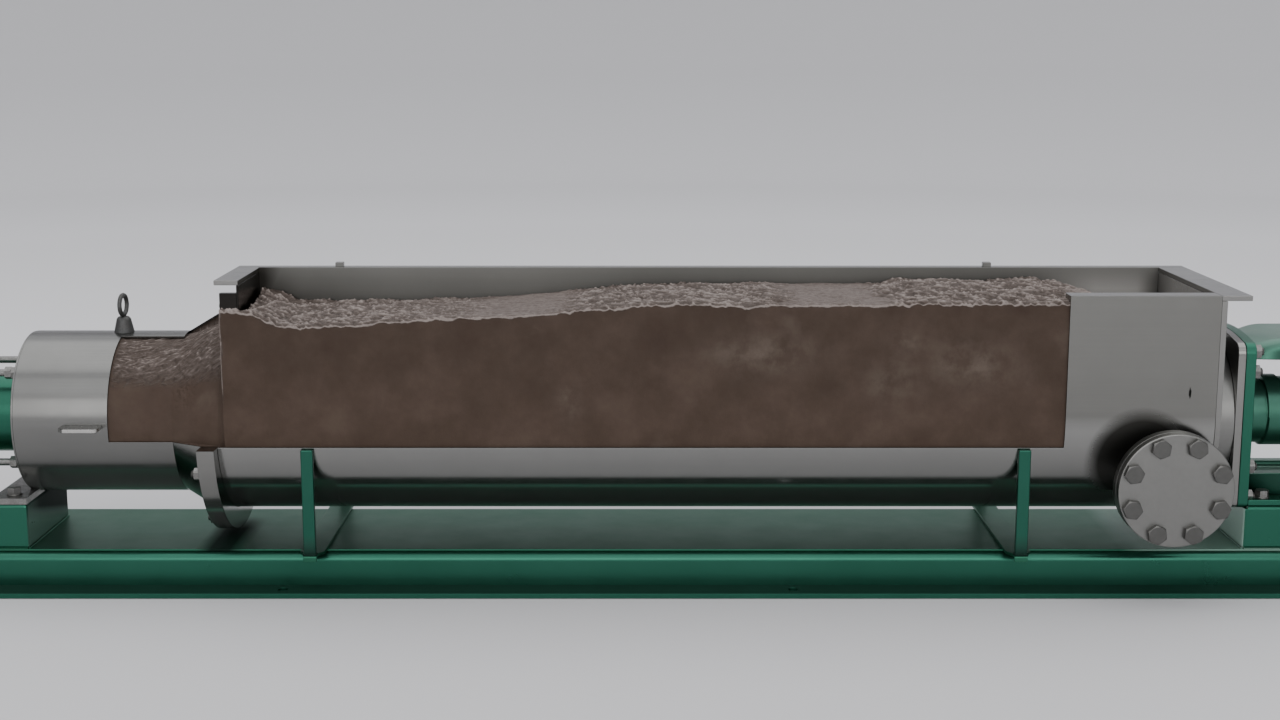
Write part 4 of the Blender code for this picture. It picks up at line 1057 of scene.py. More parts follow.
# %% Rim bars and end walls
RIM_SEAT = 0.0002
LUG_HALF, LUG_LOW = 0.0085, 0.5922
far_low, far_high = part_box("rim_far")
near_low, near_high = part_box("rim_near")
outside, inside = TROUGH_RADIUS + RIM_SEAT, TROUGH_RADIUS - SHEET - RIM_SEAT
rims = [block((far_low.x, outside, far_low.z), (far_high.x, far_high.y, RIM_TOP)),
        block((near_low.x, -inside, near_low.z), (near_high.x, near_high.y, RIM_TOP))]
for name, near_y in (("rim_left", CUT_PLANE), ("rim_right", -TROUGH_RADIUS)):
    low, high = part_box(name)
    rims.append(block((low.x, near_y, low.z), (high.x, TROUGH_RADIUS, RIM_TOP)))
piece("hopper_rim", rims, STEEL_RIM, ["rim_left", "rim_right", "rim_near", "rim_far"], bevel=0.001)
lug_y0, lug_y1 = far_high.y - 0.020, far_high.y - 0.003
lugs = [block((x - LUG_HALF, lug_y0, LUG_LOW), (x + LUG_HALF, lug_y1, far_high.z)) for x in SUPPORTS.values()]
piece("rim_lugs", lugs, STEEL_PLATE, bevel=0.0012)

low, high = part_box("hopper_end_right")
outline = np.vstack([[(-TROUGH_RADIUS, high.z)], trough_arc(np.pi, 2 * np.pi, 97), [(TROUGH_RADIUS, high.z)]])
wall = extruded(outline, "X", low.x, high.x)
piece("right_end_wall", [wall], STEEL_END, ["hopper_end_right"], bevel=0.0008)

END_BORE, END_STEP = 0.194, 0.02
low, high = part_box("hopper_end_left")
angle = np.linspace(np.pi / 2 - np.arcsin(CUT_PLANE / END_BORE), np.arcsin(END_STEP / END_BORE), 41)
corners = [(high.y, AXIS + END_STEP), (high.y, high.z), (CUT_PLANE, high.z)]
outline = np.vstack([corners, arc_points(END_BORE, angle, (0, AXIS))])
wall = extruded(outline, "X", low.x, high.x)
piece("left_end_wall", [wall], STEEL_LEFT, ["hopper_end_left"], bevel=0.0006)

# %% [markdown]
# ## Ring flanges, cone and chamber
#
# The hopper and the cone meet in a bolted pair of rings. Behind them the cone narrows to the
# chamber pipe. All of them are round and all are cut open, so the cut-turned shell makes
# them from their sections.

# %% Rings and cone
RING_BORE, RING_RADIUS = 0.196, 0.240
CHAMBER_RADIUS, CHAMBER_SHEET = 0.1625, 0.004
CONE_LEFT, CONE_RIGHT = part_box("cone")[0].x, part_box("cone")[1].x
ring_left, ring_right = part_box("ring_flange_cone")[0].x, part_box("ring_flange_hopper")[1].x
section = [(ring_left, RING_BORE), (ring_right, RING_BORE),
           (ring_right, RING_RADIUS), (ring_left, RING_RADIUS)]
rings = cut_turned(softened(section, 0.0012), 220)
piece("ring_flanges", [rings], STEEL, ["ring_flange_hopper", "ring_flange_cone"])

section = [(CONE_RIGHT, RING_BORE + CHAMBER_SHEET), (CONE_LEFT, CHAMBER_RADIUS),
           (CONE_LEFT, CHAMBER_RADIUS - CHAMBER_SHEET), (CONE_RIGHT, RING_BORE)]
piece("cone_shell", [cut_turned(softened(section, 0.0004), 200)], STEEL, ["cone"])

# %% Chamber pipe with its window
CHAMBER_LEFT, CHAMBER_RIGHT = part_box("chamber")[0].x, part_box("chamber")[1].x
CHAMBER_WINDOW, WINDOW_BEHIND = -0.8375, 0.035


def chamber_shell():
    """Rows along X, columns round the pipe, starting at the level cut. The first stretch is a
    whole ring, and beyond the window's edge the columns from the upright cut on are left out."""
    start = np.pi + np.arcsin((AXIS - CUT_LEVEL) / CHAMBER_RADIUS)
    end = 2 * np.pi + np.arccos(-WINDOW_BEHIND / CHAMBER_RADIUS)
    kept = np.linspace(start, end, 121)
    missing = np.linspace(end, start + 2 * np.pi, 41)[1:-1]
    angle = np.concatenate([kept, missing])
    left = np.linspace(CHAMBER_LEFT, CHAMBER_WINDOW, 7)
    x = np.concatenate([left, np.linspace(CHAMBER_WINDOW, CHAMBER_RIGHT, 5)[1:]])
    grid = swung(x[:, None], CHAMBER_RADIUS, angle[None, :], "X")
    index = np.arange(grid.size // 3).reshape(grid.shape[:2])
    index = np.hstack([index, index[:, :1]])
    column = np.arange(len(angle))[None, :]
    standing = (x[:-1, None] < CHAMBER_WINDOW - EDGE) | (column < len(kept) - 1)
    return standing_faces(grid, index, standing)


rolled("chamber_shell", chamber_shell(), STEEL_PIPE, ["chamber"], AXIS, CHAMBER_SHEET)

# %% End cap and lugs of the chamber
HUB = 0.02
CAP_BOSS, CAP_RADIUS = 0.138, 0.1619
low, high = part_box("chamber_end_cap")
step = low.x + 0.004
cap = [(low.x, HUB), (low.x, CAP_BOSS), (step, CAP_BOSS), (step, CAP_RADIUS),
       (high.x, CAP_RADIUS), (high.x, HUB)]
piece("end_cap", [turned(softened(cap, 0.0008, closed=False))], STEEL_PIPE, ["chamber_end_cap"])

lugs, lug_names = [], ["chamber_lug_near", "chamber_lug_far"]
for name, side in zip(lug_names, (-1, 1)):
    low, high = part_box(name)
    root, tip = (high.y, low.y) if side < 0 else (low.y, high.y)
    outline = [(low.x, root), (high.x, root), (high.x, tip - side * 0.004), (high.x - 0.004, tip),
               (low.x + 0.012, tip), (low.x, tip - side * 0.012)]
    lugs.append(extruded(outline, "Z", low.z, high.z))
piece("chamber_lugs", lugs, STEEL_LUG, lug_names, bevel=0.001)

# %% Lifting eye
EYE = np.array((-0.842, 0.0, AXIS + CHAMBER_RADIUS))
EYE_RADIUS, EYE_WIRE, EYE_HEIGHT = 0.0197, 0.0047, 0.0541
EYE_TURN = np.radians(-5)
base = [(-0.0012, 0.0199), (0.0, 0.0199), (0.0265, 0.0140), (0.031, 0.0098), (0.0311, 0.003)]
stem = turned(softened(base, 0.002, closed=False), "Z", EYE, 40)
angle = np.linspace(0, 2 * np.pi, 64, endpoint=False)
across = EYE_RADIUS * np.cos(angle)
line = np.column_stack([-across * np.sin(EYE_TURN), across * np.cos(EYE_TURN), EYE_RADIUS * np.sin(angle)])
line = line + EYE + (0, 0, EYE_HEIGHT)
eye = bead(line, EYE_WIRE, closed=True, ripple=0.0, up=(np.cos(EYE_TURN), np.sin(EYE_TURN), 0))
piece("eye_bolt", [stem, eye], ZINC_DULL, ["lifting_eye"], sharp=45)

# %% [markdown]
# ## Stator, tie rods and outlet
#
# The green tube holds the rubber stator. Four tie rods clamp it between the chamber and the
# outlet. Only the rods' right ends show in the photograph, the rest follows from them.

# %% Stator tube and tie rods
ROD_Y, ROD_Z, ROD_RADIUS = 0.073, 0.091, 0.0073
NUT, LOCK_NUT, WASHER = (0.0229, 0.014), (0.0219, 0.014), (0.0145, 0.003)
STATOR_RADIUS = 0.083
low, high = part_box("stator")
tube = [(low.x, HUB), (low.x, STATOR_RADIUS), (high.x, STATOR_RADIUS), (high.x, HUB)]
piece("stator_tube", [turned(softened(tube, 0.0015, closed=False))], GREEN, ["stator"])

nut, lock_nut, washer = hexagon(*NUT, both=True), hexagon(*LOCK_NUT, both=True), disc(*WASHER)
rods, rod_names = [], [f"tie_rod_{side}_{level}" for level in ("top", "bottom") for side in ("near", "far")]
for y in (-ROD_Y, ROD_Y):
    for z in (AXIS - ROD_Z, AXIS + ROD_Z):
        rods.append(turned([(low.x + 0.001, ROD_RADIUS), (high.x - 0.001, ROD_RADIUS)], "X", (0, y, z), 32))
        rods.append(aimed(washer, "-X", (high.x, y, z)))
        rods.append(aimed(nut, "-X", (high.x - 0.003, y, z), 0.2))
        rods.append(aimed(lock_nut, "-X", (high.x - 0.0168, y, z), 0.5))
        rods.append(aimed(washer, "+X", (low.x, y, z)))
        rods.append(aimed(nut, "+X", (low.x + 0.003, y, z), 0.1))
piece("tie_rods", rods, ZINC, rod_names)

# %% Outlet plate and flanged pipe
OUTLET_PLATE, OUTLET_PIPE, OUTLET_FLANGE, OUTLET_BORE = 0.138, 0.0841, 0.1425, 0.0780
low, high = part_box("outlet")
plate_back, flange_back, bore_end = high.x - 0.014, low.x + 0.020, high.x - 0.010
profile = [(high.x, HUB), (high.x, OUTLET_PLATE), (plate_back, OUTLET_PLATE), (plate_back, OUTLET_PIPE),
           (flange_back, OUTLET_PIPE), (flange_back, OUTLET_FLANGE), (low.x, OUTLET_FLANGE),
           (low.x, OUTLET_BORE), (bore_end, OUTLET_BORE), (bore_end, HUB)]
pipe = turned(softened(profile, 0.0015, closed=False), steps=160)
piece("outlet_pipe", [pipe], STEEL_PLATE, ["outlet"])

# %% [markdown]
# ## Clean-out port
#
# A short neck on the trough's side is closed with a bolted blind cover. The cover is the
# one machined part in full view: its rim catches a light line, and eight hexagon heads
# stand on its bolt circle.

# %% Neck, cover and bolts
PORT = np.array((1.213, 0.0, 0.231))
PORT_RADIUS, PORT_BOLTS, PORT_COUNT = 0.110, 0.090, 8
FLANGE_BACK, FLANGE_FRONT, COVER_BACK, COVER_FRONT = -0.2487, -0.2687, -0.269, -0.289
neck = [(-0.150, 0.057), (FLANGE_BACK, 0.057), (FLANGE_BACK, PORT_RADIUS), (FLANGE_FRONT, PORT_RADIUS),
        (FLANGE_FRONT, 0.052), (-0.150, 0.052)]
piece("port_pipe", [turned(softened(neck, 0.0012), "Y", PORT, 128, ring=True)], STEEL_PLATE, ["port_neck"])
cover = [(COVER_BACK, HUB), (COVER_BACK, PORT_RADIUS), (COVER_FRONT, PORT_RADIUS), (COVER_FRONT, HUB)]
cover = turned(softened(cover, 0.0022, closed=False, steps=4), "Y", PORT, 160)
piece("port_blind_cover", [cover], STEEL_PLATE, ["port_cover"])
head = bolt(0.0335, 0.0118)
heads = []
for turn in 2 * np.pi * (np.arange(PORT_COUNT) + 0.5) / PORT_COUNT:
    x, z = PORT[0] + PORT_BOLTS * np.cos(turn), PORT[2] + PORT_BOLTS * np.sin(turn)
    heads.append(aimed(head, "-Y", (x, COVER_FRONT, z), turn))
piece("port_bolts", heads, STEEL_BOLT, sharp=18)

# %% [markdown]
# ## Drive side
#
# A round collar leads from the hopper's end wall to a square flange. The green lantern is
# bolted to it: a front plate, two bridges that start round and end square, and a rear
# plate. The bridges are blended section by section between an arc and a rounded square.

# %% Collar and square plates
COLLAR_RADIUS = 0.150
PLATE_HALF, PLATE_CORNER, PLATE_SHOULDER, PLATE_TOP = 0.150, 0.022, 0.163, 0.175
PLATE_FOOT, FOOT_CORNER = -0.167, 0.012
low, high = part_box("drive_collar")
collar = [(low.x, HUB), (low.x, COLLAR_RADIUS), (high.x, COLLAR_RADIUS), (high.x, HUB)]
collar = turned(softened(collar, 0.0008, closed=False), steps=160)
piece("collar", [collar], STEEL_ROUGH, ["drive_collar"])


def plate_outline():
    """Upright sides 300 mm apart, a top that arches 12 mm, a flat bottom, rounded corners. The
    arch over a half width w and a rise h has the radius (w^2 + h^2) / 2h."""
    reach, rise = PLATE_HALF - PLATE_CORNER, PLATE_TOP - PLATE_SHOULDER
    arch = (reach**2 + rise**2) / (2 * rise)
    swing = np.arcsin(reach / arch)
    quarter = np.pi / 2
    level = PLATE_SHOULDER - PLATE_CORNER
    side, low = PLATE_HALF - FOOT_CORNER, PLATE_FOOT + FOOT_CORNER
    outline = np.vstack([
        arc_points(PLATE_CORNER, np.linspace(0, quarter - swing, 9), (reach, level)),
        arc_points(arch, np.linspace(quarter - swing, quarter + swing, 25)[1:-1], (0, PLATE_TOP - arch)),
        arc_points(PLATE_CORNER, np.linspace(quarter + swing, np.pi, 9), (-reach, level)),
        arc_points(FOOT_CORNER, np.linspace(np.pi, np.pi + quarter, 6), (-side, low)),
        arc_points(FOOT_CORNER, np.linspace(-quarter, 0, 6), (side, low)),
    ])
    return outline + (0, AXIS)


for name, replaced, material in (
    ("square_flange", "end_flange", STEEL),
    ("lantern_front_plate", "lantern_front", GREEN),
    ("lantern_rear_plate", "lantern_rear", GREEN),
):
    low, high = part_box(replaced)
    piece(name, [extruded(plate_outline(), "X", low.x, high.x)], material, [replaced], bevel=0.0015)

# %% Lantern bridges
BRIDGE_LEFT, BRIDGE_FLARE, BRIDGE_RIGHT = 1.3983, 1.485, 1.6297
BRIDGE_WALL, BRIDGE_HALF, BRIDGE_ROUND = 0.024, 0.105, 0.155
BRIDGE_CORNER, INNER_CORNER = 0.022, 0.010


def spaced(path, count=49):
    """The same line as evenly spaced points."""
    length = np.concatenate([[0], np.cumsum(np.linalg.norm(np.diff(path, axis=0), axis=1))])
    where = np.linspace(0, length[-1], count)
    return np.column_stack([np.interp(where, length, path[:, i]) for i in range(2)])


def round_arch(radius, near, far):
    """An arc from the height near on the near side to the height far on the far side."""
    angle = np.linspace(np.pi - np.arcsin(near / radius), np.arcsin(far / radius), 60)
    return spaced(arc_points(radius, angle))


def square_arch(half, top, corner, near, far):
    """The same between upright sides and under a flat top, with rounded corners."""
    left = arc_points(corner, np.linspace(np.pi, np.pi / 2, 12), (corner - half, top - corner))
    right = arc_points(corner, np.linspace(np.pi / 2, 0, 12), (half - corner, top - corner))
    return spaced(np.vstack([[(-half, near)], left, right, [(half, far)]]))


def bridge(way, top, near, far):
    """Each section mixes the arc and the rounded square by sin(t pi / 2), t going from the
    front plate to the end of the flare. The way is 1 for up and -1 for down."""
    inner_half, inner_top = BRIDGE_HALF - BRIDGE_WALL, top - BRIDGE_WALL
    outer_a = round_arch(BRIDGE_ROUND, near, far)
    outer_b = square_arch(BRIDGE_HALF, top, BRIDGE_CORNER, near, far)
    inner_a = round_arch(BRIDGE_ROUND - BRIDGE_WALL, near, far)
    inner_b = square_arch(inner_half, inner_top, INNER_CORNER, near, far)
    t = np.linspace(0, 1, 15)
    x = np.append(BRIDGE_LEFT + (BRIDGE_FLARE - BRIDGE_LEFT) * t, BRIDGE_RIGHT)
    share = np.append(np.sin(np.pi / 2 * t), 1.0)[:, None, None]
    outer, inner = outer_a + share * (outer_b - outer_a), inner_a + share * (inner_b - inner_a)
    ring = np.concatenate([outer, inner[:, ::-1]], axis=1)
    grid = np.empty(ring.shape[:2] + (3,))
    grid[..., 0], grid[..., 1], grid[..., 2] = x[:, None], ring[..., 0], AXIS + way * ring[..., 1]
    return skin(grid)


upper, lower = bridge(1, 0.165, 0.1225, 0.1225), bridge(-1, 0.162, 0.106, 0.125)
piece("upper_bridge", [upper], GREEN_BRIDGE, ["lantern_bridge_top"], bevel=0.0015)
piece("lower_bridge", [lower], GREEN_BRIDGE, ["lantern_bridge_bottom"], bevel=0.0015)

# %% Seal housing, shaft and bearing
BORE = 0.0303
low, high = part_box("stuffing_box")
profile = [(high.x, BORE), (high.x, 0.052), (1.566, 0.052), (1.566, 0.070), (1.459, 0.070), (1.456, 0.065),
           (1.424, 0.065), (1.424, 0.0785), (low.x, 0.0785), (low.x, BORE)]
housing = turned(softened(profile, 0.0015), ring=True)
angle = np.linspace(0, np.pi, 65)
clamp = np.vstack([arc_points(0.0745, angle, (0, AXIS)), arc_points(0.060, angle[::-1], (0, AXIS))])
piece("seal_housing", [housing, extruded(clamp, "X", 1.456, 1.487)], GREEN_HOUSING, ["stuffing_box"])

SHAFT_RADIUS, SHAFT_CENTRE = 0.030, 0.01
low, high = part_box("drive_shaft")
shaft = [(low.x, SHAFT_CENTRE), (low.x, SHAFT_RADIUS), (high.x, SHAFT_RADIUS), (high.x, SHAFT_CENTRE)]
shaft = turned(softened(shaft, 0.002, closed=False), steps=64)
piece("bare_shaft", [shaft], STEEL_PLATE, ["drive_shaft"])

low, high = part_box("bearing_housing")
step = low.x + 0.016
profile = [(high.x, BORE), (high.x, 0.105), (step, 0.105), (step, 0.135), (low.x, 0.135), (low.x, BORE)]
housing = turned(softened(profile, 0.004), ring=True)
low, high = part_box("bearing_cover")
lid = softened([(high.x, BORE), (high.x, 0.088), (low.x, 0.088), (low.x, BORE)], 0.002)
piece("bearing", [housing, turned(lid, ring=True)], GREEN, ["bearing_housing", "bearing_cover"])

# %% Fasteners of the flanges and the lantern
PLATE_FACE, PLATE_NUT_Y, PLATE_NUT_Z = 1.398, 0.125, (0.143, 0.103, -0.087, -0.148)
RING_BOLTS, RING_COUNT, RING_STANDING = 0.219, 8, (0, 1, 4, 5, 6, 7)
nut = bolt(0.026, 0.014, 0.0, 0.006, 0.008)
plate_nuts = [aimed(nut, "+X", (PLATE_FACE, side * PLATE_NUT_Y, AXIS + z), 0.3)
              for side in (-1, 1) for z in PLATE_NUT_Z]
piece("lantern_nuts", plate_nuts, ZINC)
ring_bolt = bolt(0.022, 0.011, 0.002, 0.006, 0.007)
ring_bolts = []
for turn in 2 * np.pi * (np.array(RING_STANDING) + 0.5) / RING_COUNT:
    y, z = RING_BOLTS * np.cos(turn), AXIS + RING_BOLTS * np.sin(turn)
    ring_bolts.append(aimed(ring_bolt, "-X", (ring_left, y, z), turn))
piece("ring_bolts", ring_bolts, ZINC)

# %% [markdown]
# ## The cake
#
# Dewatered sludge is stiff like clay. Where it was pressed against a wall it is smooth, and
# where it was tipped in it is lumpy and wrinkled. Blender's noise could only bump the
# surface, so the lumps are worked out here as real height. Noise on a lattice gives the
# lumps, and its folded form, 1 - |noise|, gives sharp ridges with soft valleys.

# %% Lattice noise and ridges


def lattice_noise(points, seed):
    """Smooth noise from -1 to 1. Every lattice corner has a random slope, and a point blends
    the slopes of its cell's eight corners with the weight 6t^5 - 15t^4 + 10t^3."""
    draw = np.random.default_rng(seed)
    slopes = draw.normal(size=(256, 3))
    slopes /= np.linalg.norm(slopes, axis=1, keepdims=True)
    order = draw.permutation(256)
    cell = np.floor(points).astype(int)
    inside = points - cell
    weight = inside**3 * (inside * (inside * 6 - 15) + 10)
    total = 0.0
    for corner in np.ndindex(2, 2, 2):
        c = (cell + corner) % 256
        number = order[(order[(order[c[..., 0]] + c[..., 1]) % 256] + c[..., 2]) % 256]
        value = (slopes[number] * (inside - corner)).sum(-1)
        total = total + value * np.where(corner, weight, 1 - weight).prod(-1)
    return np.clip(total * 1.7, -1, 1)


def lumps(points, size, seed):
    """Noise in three sizes, each half as large and half as high as the one before."""
    layers = (lattice_noise(points / size * 2**k + 17.3 * k, seed + k) for k in range(3))
    return sum(0.5**k * layer for k, layer in enumerate(layers))


def ridges(points, size, seed, octaves):
    """Folded noise, (1 - |n|)^2 in several sizes, on points that other noise has pushed aside."""
    push = np.stack([lattice_noise(points / size / 1.4 + 5.1 * i, seed + 40 + i) for i in range(3)], -1)
    points = points + 0.45 * size * push
    layers = (lattice_noise(points / size * 2**k + 9.7 * k, seed + k) for k in range(octaves))
    return sum(0.5**k * (1 - np.abs(layer)) ** 2 for k, layer in enumerate(layers)) - 0.8


def ramped(values, low, high):
    """0 up to low, 1 from high on, and straight between them."""
    return np.clip((values - low) / (high - low), 0, 1)


def spread(*arrays):
    """Arrays of one shape, or numbers, joined into an array of points."""
    return np.stack(np.broadcast_arrays(*arrays), -1)


sample = np.random.default_rng(2).uniform(0, 50, (2000, 3))
print("noise spread:", np.round(lattice_noise(sample, 3).std(), 3))

# %% [markdown]
# ## The block in the hopper
#
# The block's section is walked once round: over the wrinkled top, down the far wall, round
# the trough and up the near face. Its top follows a table of heights along the hopper, and a
# second table says how crumpled each stretch is. How high a point stands on its ridge is
# kept as an attribute, because the cake's colour follows it: crests get a painted highlight
# and valleys painted shade.

# %% Heights of the top above the axis, crumpled stretches and dry patches
NEAR_TOP = np.array((
    (-0.600, 0.231), (-0.543, 0.234), (-0.510, 0.217), (-0.4935, 0.208), (-0.452, 0.2034), (-0.380, 0.2063),
    (-0.315, 0.210), (-0.249, 0.2163), (-0.150, 0.2227), (0.048, 0.2316), (0.190, 0.2450), (0.314, 0.2475),
    (0.405, 0.2449), (0.480, 0.2482), (0.620, 0.2485), (0.900, 0.250), (1.060, 0.246), (1.170, 0.228),
    (1.3025, 0.214),
))
FAR_TOP = np.array((
    (-0.600, 0.218), (-0.587, 0.2187), (-0.558, 0.2102), (-0.529, 0.1955), (-0.500, 0.1918), (-0.449, 0.1949),
    (-0.303, 0.1955), (-0.194, 0.1972), (-0.100, 0.203), (0.120, 0.222), (0.320, 0.230), (0.500, 0.2325),
    (0.710, 0.230), (0.740, 0.2395), (0.800, 0.237), (0.850, 0.2405), (0.930, 0.2345), (0.965, 0.2415),
    (1.025, 0.2420), (1.055, 0.236), (1.080, 0.2365), (1.110, 0.222), (1.160, 0.206), (1.3025, 0.198),
))
ROUGH = np.array((
    (-0.60, 1.0), (-0.30, 0.85), (-0.14, 0.55), (-0.09, 0.12), (0.03, 0.12), (0.09, 0.9), (0.45, 0.9),
    (0.50, 0.12), (0.66, 0.08), (0.71, 1.0), (1.30, 1.0),
))
DRY_PATCHES = (
    (0.433, 0.480, 0.095, 0.035, 1.0), (0.066, 0.387, 0.022, 0.035, 0.8), (0.706, 0.511, 0.035, 0.020, 0.7),
    (0.678, 0.420, 0.055, 0.035, 0.7), (0.840, 0.459, 0.085, 0.042, 0.9),
)
CAKE_LEFT, CAKE_RIGHT, CAKE_HALF = -0.600, 1.3025, 0.209
CROWN, SWELL, FOLDS, EDGE_DROP = 0.003, 0.0042, 0.0105, 0.0015
HOLLOW_DEPTH, HOLLOW_LENGTH, HOLLOW_WIDTH = 0.029, 0.064, 0.88
print("heights on the near side:", len(NEAR_TOP), "on the far side:", len(FAR_TOP))

# %% The block's surface
EDGE_PAINTED_HIGHLIGHT = 0.92


def block_top(x, v):
    """The top lies at the tables' height, less a hollow at the left end, plus lumps and folds.
    The folds run at 45 degrees across the hopper, so their noise is stretched along x - y and
    narrow along x + y. Gives the points, the folds and how crumpled each point is."""
    y = CAKE_HALF * v
    share = (v + 1) / 2
    near, far = (np.interp(x, *table.T) for table in (NEAR_TOP, FAR_TOP))
    base = near * (1 - share) + far * share + CROWN * (1 - v**2)
    hollow = np.exp(-(((x - CAKE_LEFT) / HOLLOW_LENGTH) ** 2)) * np.clip(1 - (v / HOLLOW_WIDTH) ** 2, 0, 1)
    flat = spread(x, y, 0.0)
    rough = np.interp(flat[..., 0] + 0.035 * lumps(flat, 0.11, 47), *ROUGH.T)
    slanted = spread((x - y) / 0.080, (x + y) / 0.026, 0.0)
    wrinkle = 0.62 * ridges(slanted, 1.0, 11, 3) + 0.38 * ridges(flat, 0.024, 19, 3)
    swell = lumps(flat, 0.085, 5)
    rim = np.clip((1 - np.abs(v)) / 0.012, 0, 1)
    height = base - HOLLOW_DEPTH * hollow + SWELL * swell * (0.35 + 0.65 * rough)
    height = height + rough * wrinkle * FOLDS * (0.45 + 0.55 * rim) - EDGE_DROP * (1 - rim)
    return spread(x, y, AXIS + height), wrinkle, rough


def edge_painted_highlight(x, z, below):
    """Painted highlight: the cut face has a pale line under its upper edge and up its left edge.
    Both are a few millimetres wide and swell and shrink with noise."""
    lip = 0.0014 + 0.0034 * np.clip(0.5 + lumps(spread(x, 0 * x, 0 * x), 0.030, 83), 0, 1.2)
    upper = EDGE_PAINTED_HIGHLIGHT * np.clip((lip - below) / 0.0012, 0, 1)
    strip = 0.0022 + 0.0022 * lumps(spread(z, 0 * z, 0 * z), 0.022, 91)
    left = np.clip((strip - x + CAKE_LEFT) / 0.0016, 0, 1) * ramped(z, 0.395, 0.405)
    return np.maximum(upper, 0.8 * left)


def hopper_cake(rows=800, across=84):
    """Points (x, v), v going from -1 at the near wall to 1 at the far one. The rows keep their
    x, so both end caps are flat. The columns crowd towards the near edge, v = -1 + 2 t^1.3,
    the one seen from close by, and those of the near face crowd towards its upper edge."""
    x = np.linspace(CAKE_LEFT, CAKE_RIGHT, rows)[:, None]
    v = -1 + 2 * np.linspace(0, 1, across)[None, :] ** 1.3
    top, wrinkle, rough = block_top(x, v)
    side = np.linspace(1, 0, 5)[1:-1]
    far_side = np.repeat(top[:, -1:], len(side), axis=1)
    far_side[..., 2] = TROUGH_Z + side * (top[:, -1:, 2] - TROUGH_Z)
    angle = np.linspace(0, -np.pi, 19)[None, :]
    bottom = spread(x, CAKE_HALF * np.cos(angle), TROUGH_Z + CAKE_HALF * np.sin(angle))
    lower = np.linspace(1, 0.07, 9)[1:] * (top[:, :1, 2] - TROUGH_Z)
    upper = np.broadcast_to((0.0068, 0.0052, 0.0038, 0.0025, 0.0013, 0.0004), (rows, 6))
    below = np.concatenate([lower, upper], axis=1)
    near_side = np.repeat(top[:, :1], below.shape[1], axis=1)
    near_side[..., 2] -= below
    near_side[..., 1] += 0.0010 * np.clip(lumps(near_side, 0.06, 71), 0, 1)
    grid = np.concatenate([top, far_side, bottom, near_side], axis=1)
    ridge_painted_light, patch = np.zeros(grid.shape[:2]), np.zeros(grid.shape[:2])
    # Crests get a painted highlight, valleys painted shade, smooth stretches a middle value.
    crest = ramped(wrinkle, 0.10, 0.60) ** 1.5
    ridge_painted_light[:, :across] = 0.15 + 0.85 * crest * rough + 0.42 * (1 - rough)
    ridge_painted_light[:, -below.shape[1]:] = edge_painted_highlight(x, near_side[..., 2], below)
    # The top's near edge gets the painted highlight too.
    ridge_painted_light[:, 0] = EDGE_PAINTED_HIGHLIGHT
    for px, pz, wide, tall, amount in DRY_PATCHES:
        patch += amount * np.exp(-(((grid[..., 0] - px) / wide) ** 2) - ((grid[..., 2] - pz) / tall) ** 2)
    return grid, ridge_painted_light, patch * (grid[..., 1] < -0.15)


print("rows and columns of a coarse block:", hopper_cake(8)[0].shape[:2])

# %% [markdown]
# ## Cake finish
#
# Wet brown clay with tan blotches of drier material. The top's colour follows the ridge
# attribute, with a painted highlight on crests and painted shade in valleys, the pressed
# faces follow slow noise, and the whole is a little glossy because cake still holds most of
# its water.

# %% Cake finish


def sludge(name):
    """Below 0.12 of ridge_painted_light a point has the pressed face's colour, above it the top's,
    with painted shade in the valleys and a painted highlight on the crests.
    """
    material, tree, shader = new_finish(name)
    where = place(tree)
    crest = node(tree, "ShaderNodeAttribute", {"attribute_name": "ridge_painted_light"}, "Fac")
    patch = node(tree, "ShaderNodeAttribute", {"attribute_name": "patch"}, "Fac")
    tipped = ramp(tree, crest, (0.0, 0.0), (0.12, 1.0))
    clouds = noise(tree, where, 13.0, 6.0, 0.60)
    face = ramp(tree, clouds, (0.30, (0.0445, 0.0295, 0.0215)), (0.5, (0.0535, 0.0360, 0.0268)),
                (0.72, (0.067, 0.0467, 0.0352)))
    paler = mix(tree, 1.0, face, (1.22, 1.22, 1.22), "MULTIPLY")
    face = mix(tree, between(tree, along(tree, "Z"), 0.30, 0.50, 1.0, 0.0), face, paler)
    drier = patch * ramp(tree, noise(tree, where, 24.0, 5.0, 0.6), (0.38, 0.15), (0.62, 0.85))
    drier = drier + ramp(tree, noise(tree, where, 7.0, 5.0, 0.55, 0.4), (0.60, 0.0), (0.80, 0.45))
    face = mix(tree, drier, face, (0.118, 0.092, 0.074))
    creased = {"Scale": 72.0, "Detail": 5.0, "Roughness": 0.55, "Lacunarity": 2.1, "Offset": 1.0, "Gain": 2.0}
    settings = {"noise_type": "RIDGED_MULTIFRACTAL"}
    folded = node(tree, "ShaderNodeTexNoise", settings, "Fac", Vector=where, Distortion=0.3, **creased)
    # The top's ramp: painted shade in the valleys, painted highlight on the crests.
    top = ramp(tree, crest * 0.80 + folded * 0.17, (0.12, (0.040, 0.0295, 0.0240)),
               (0.40, (0.074, 0.057, 0.048)), (0.62, (0.120, 0.096, 0.085)), (0.95, (0.26, 0.222, 0.20)))
    grain = bump(tree, noise(tree, where, 160.0, 5.0, 0.65), 0.22, 0.0012)
    folds = bump(tree, folded * tipped, 0.42, 0.0030, grain)
    rough = ramp(tree, noise(tree, where, 40.0, 4.0), (0.3, 0.50), (0.7, 0.70))
    colour = mix(tree, tipped, face, top)
    connect(shader, Base_Color=colour, Roughness=rough, Specular_IOR_Level=0.12, Normal=folds)
    return material


CAKE = sludge("sludge_cake")


def cake_piece(name, grid, ridge_painted_light, patch, replaced):
    """Skin the grid and store how high and how dry each point is, for the finish to read."""
    obj = piece(name, [skin(grid)], CAKE, [replaced], sharp=75)
    for kept, values in (("ridge_painted_light", ridge_painted_light), ("patch", patch)):
        attribute = obj.data.attributes.new(kept, "FLOAT", "POINT")
        attribute.data.foreach_set("value", np.asarray(values, np.float32).ravel())


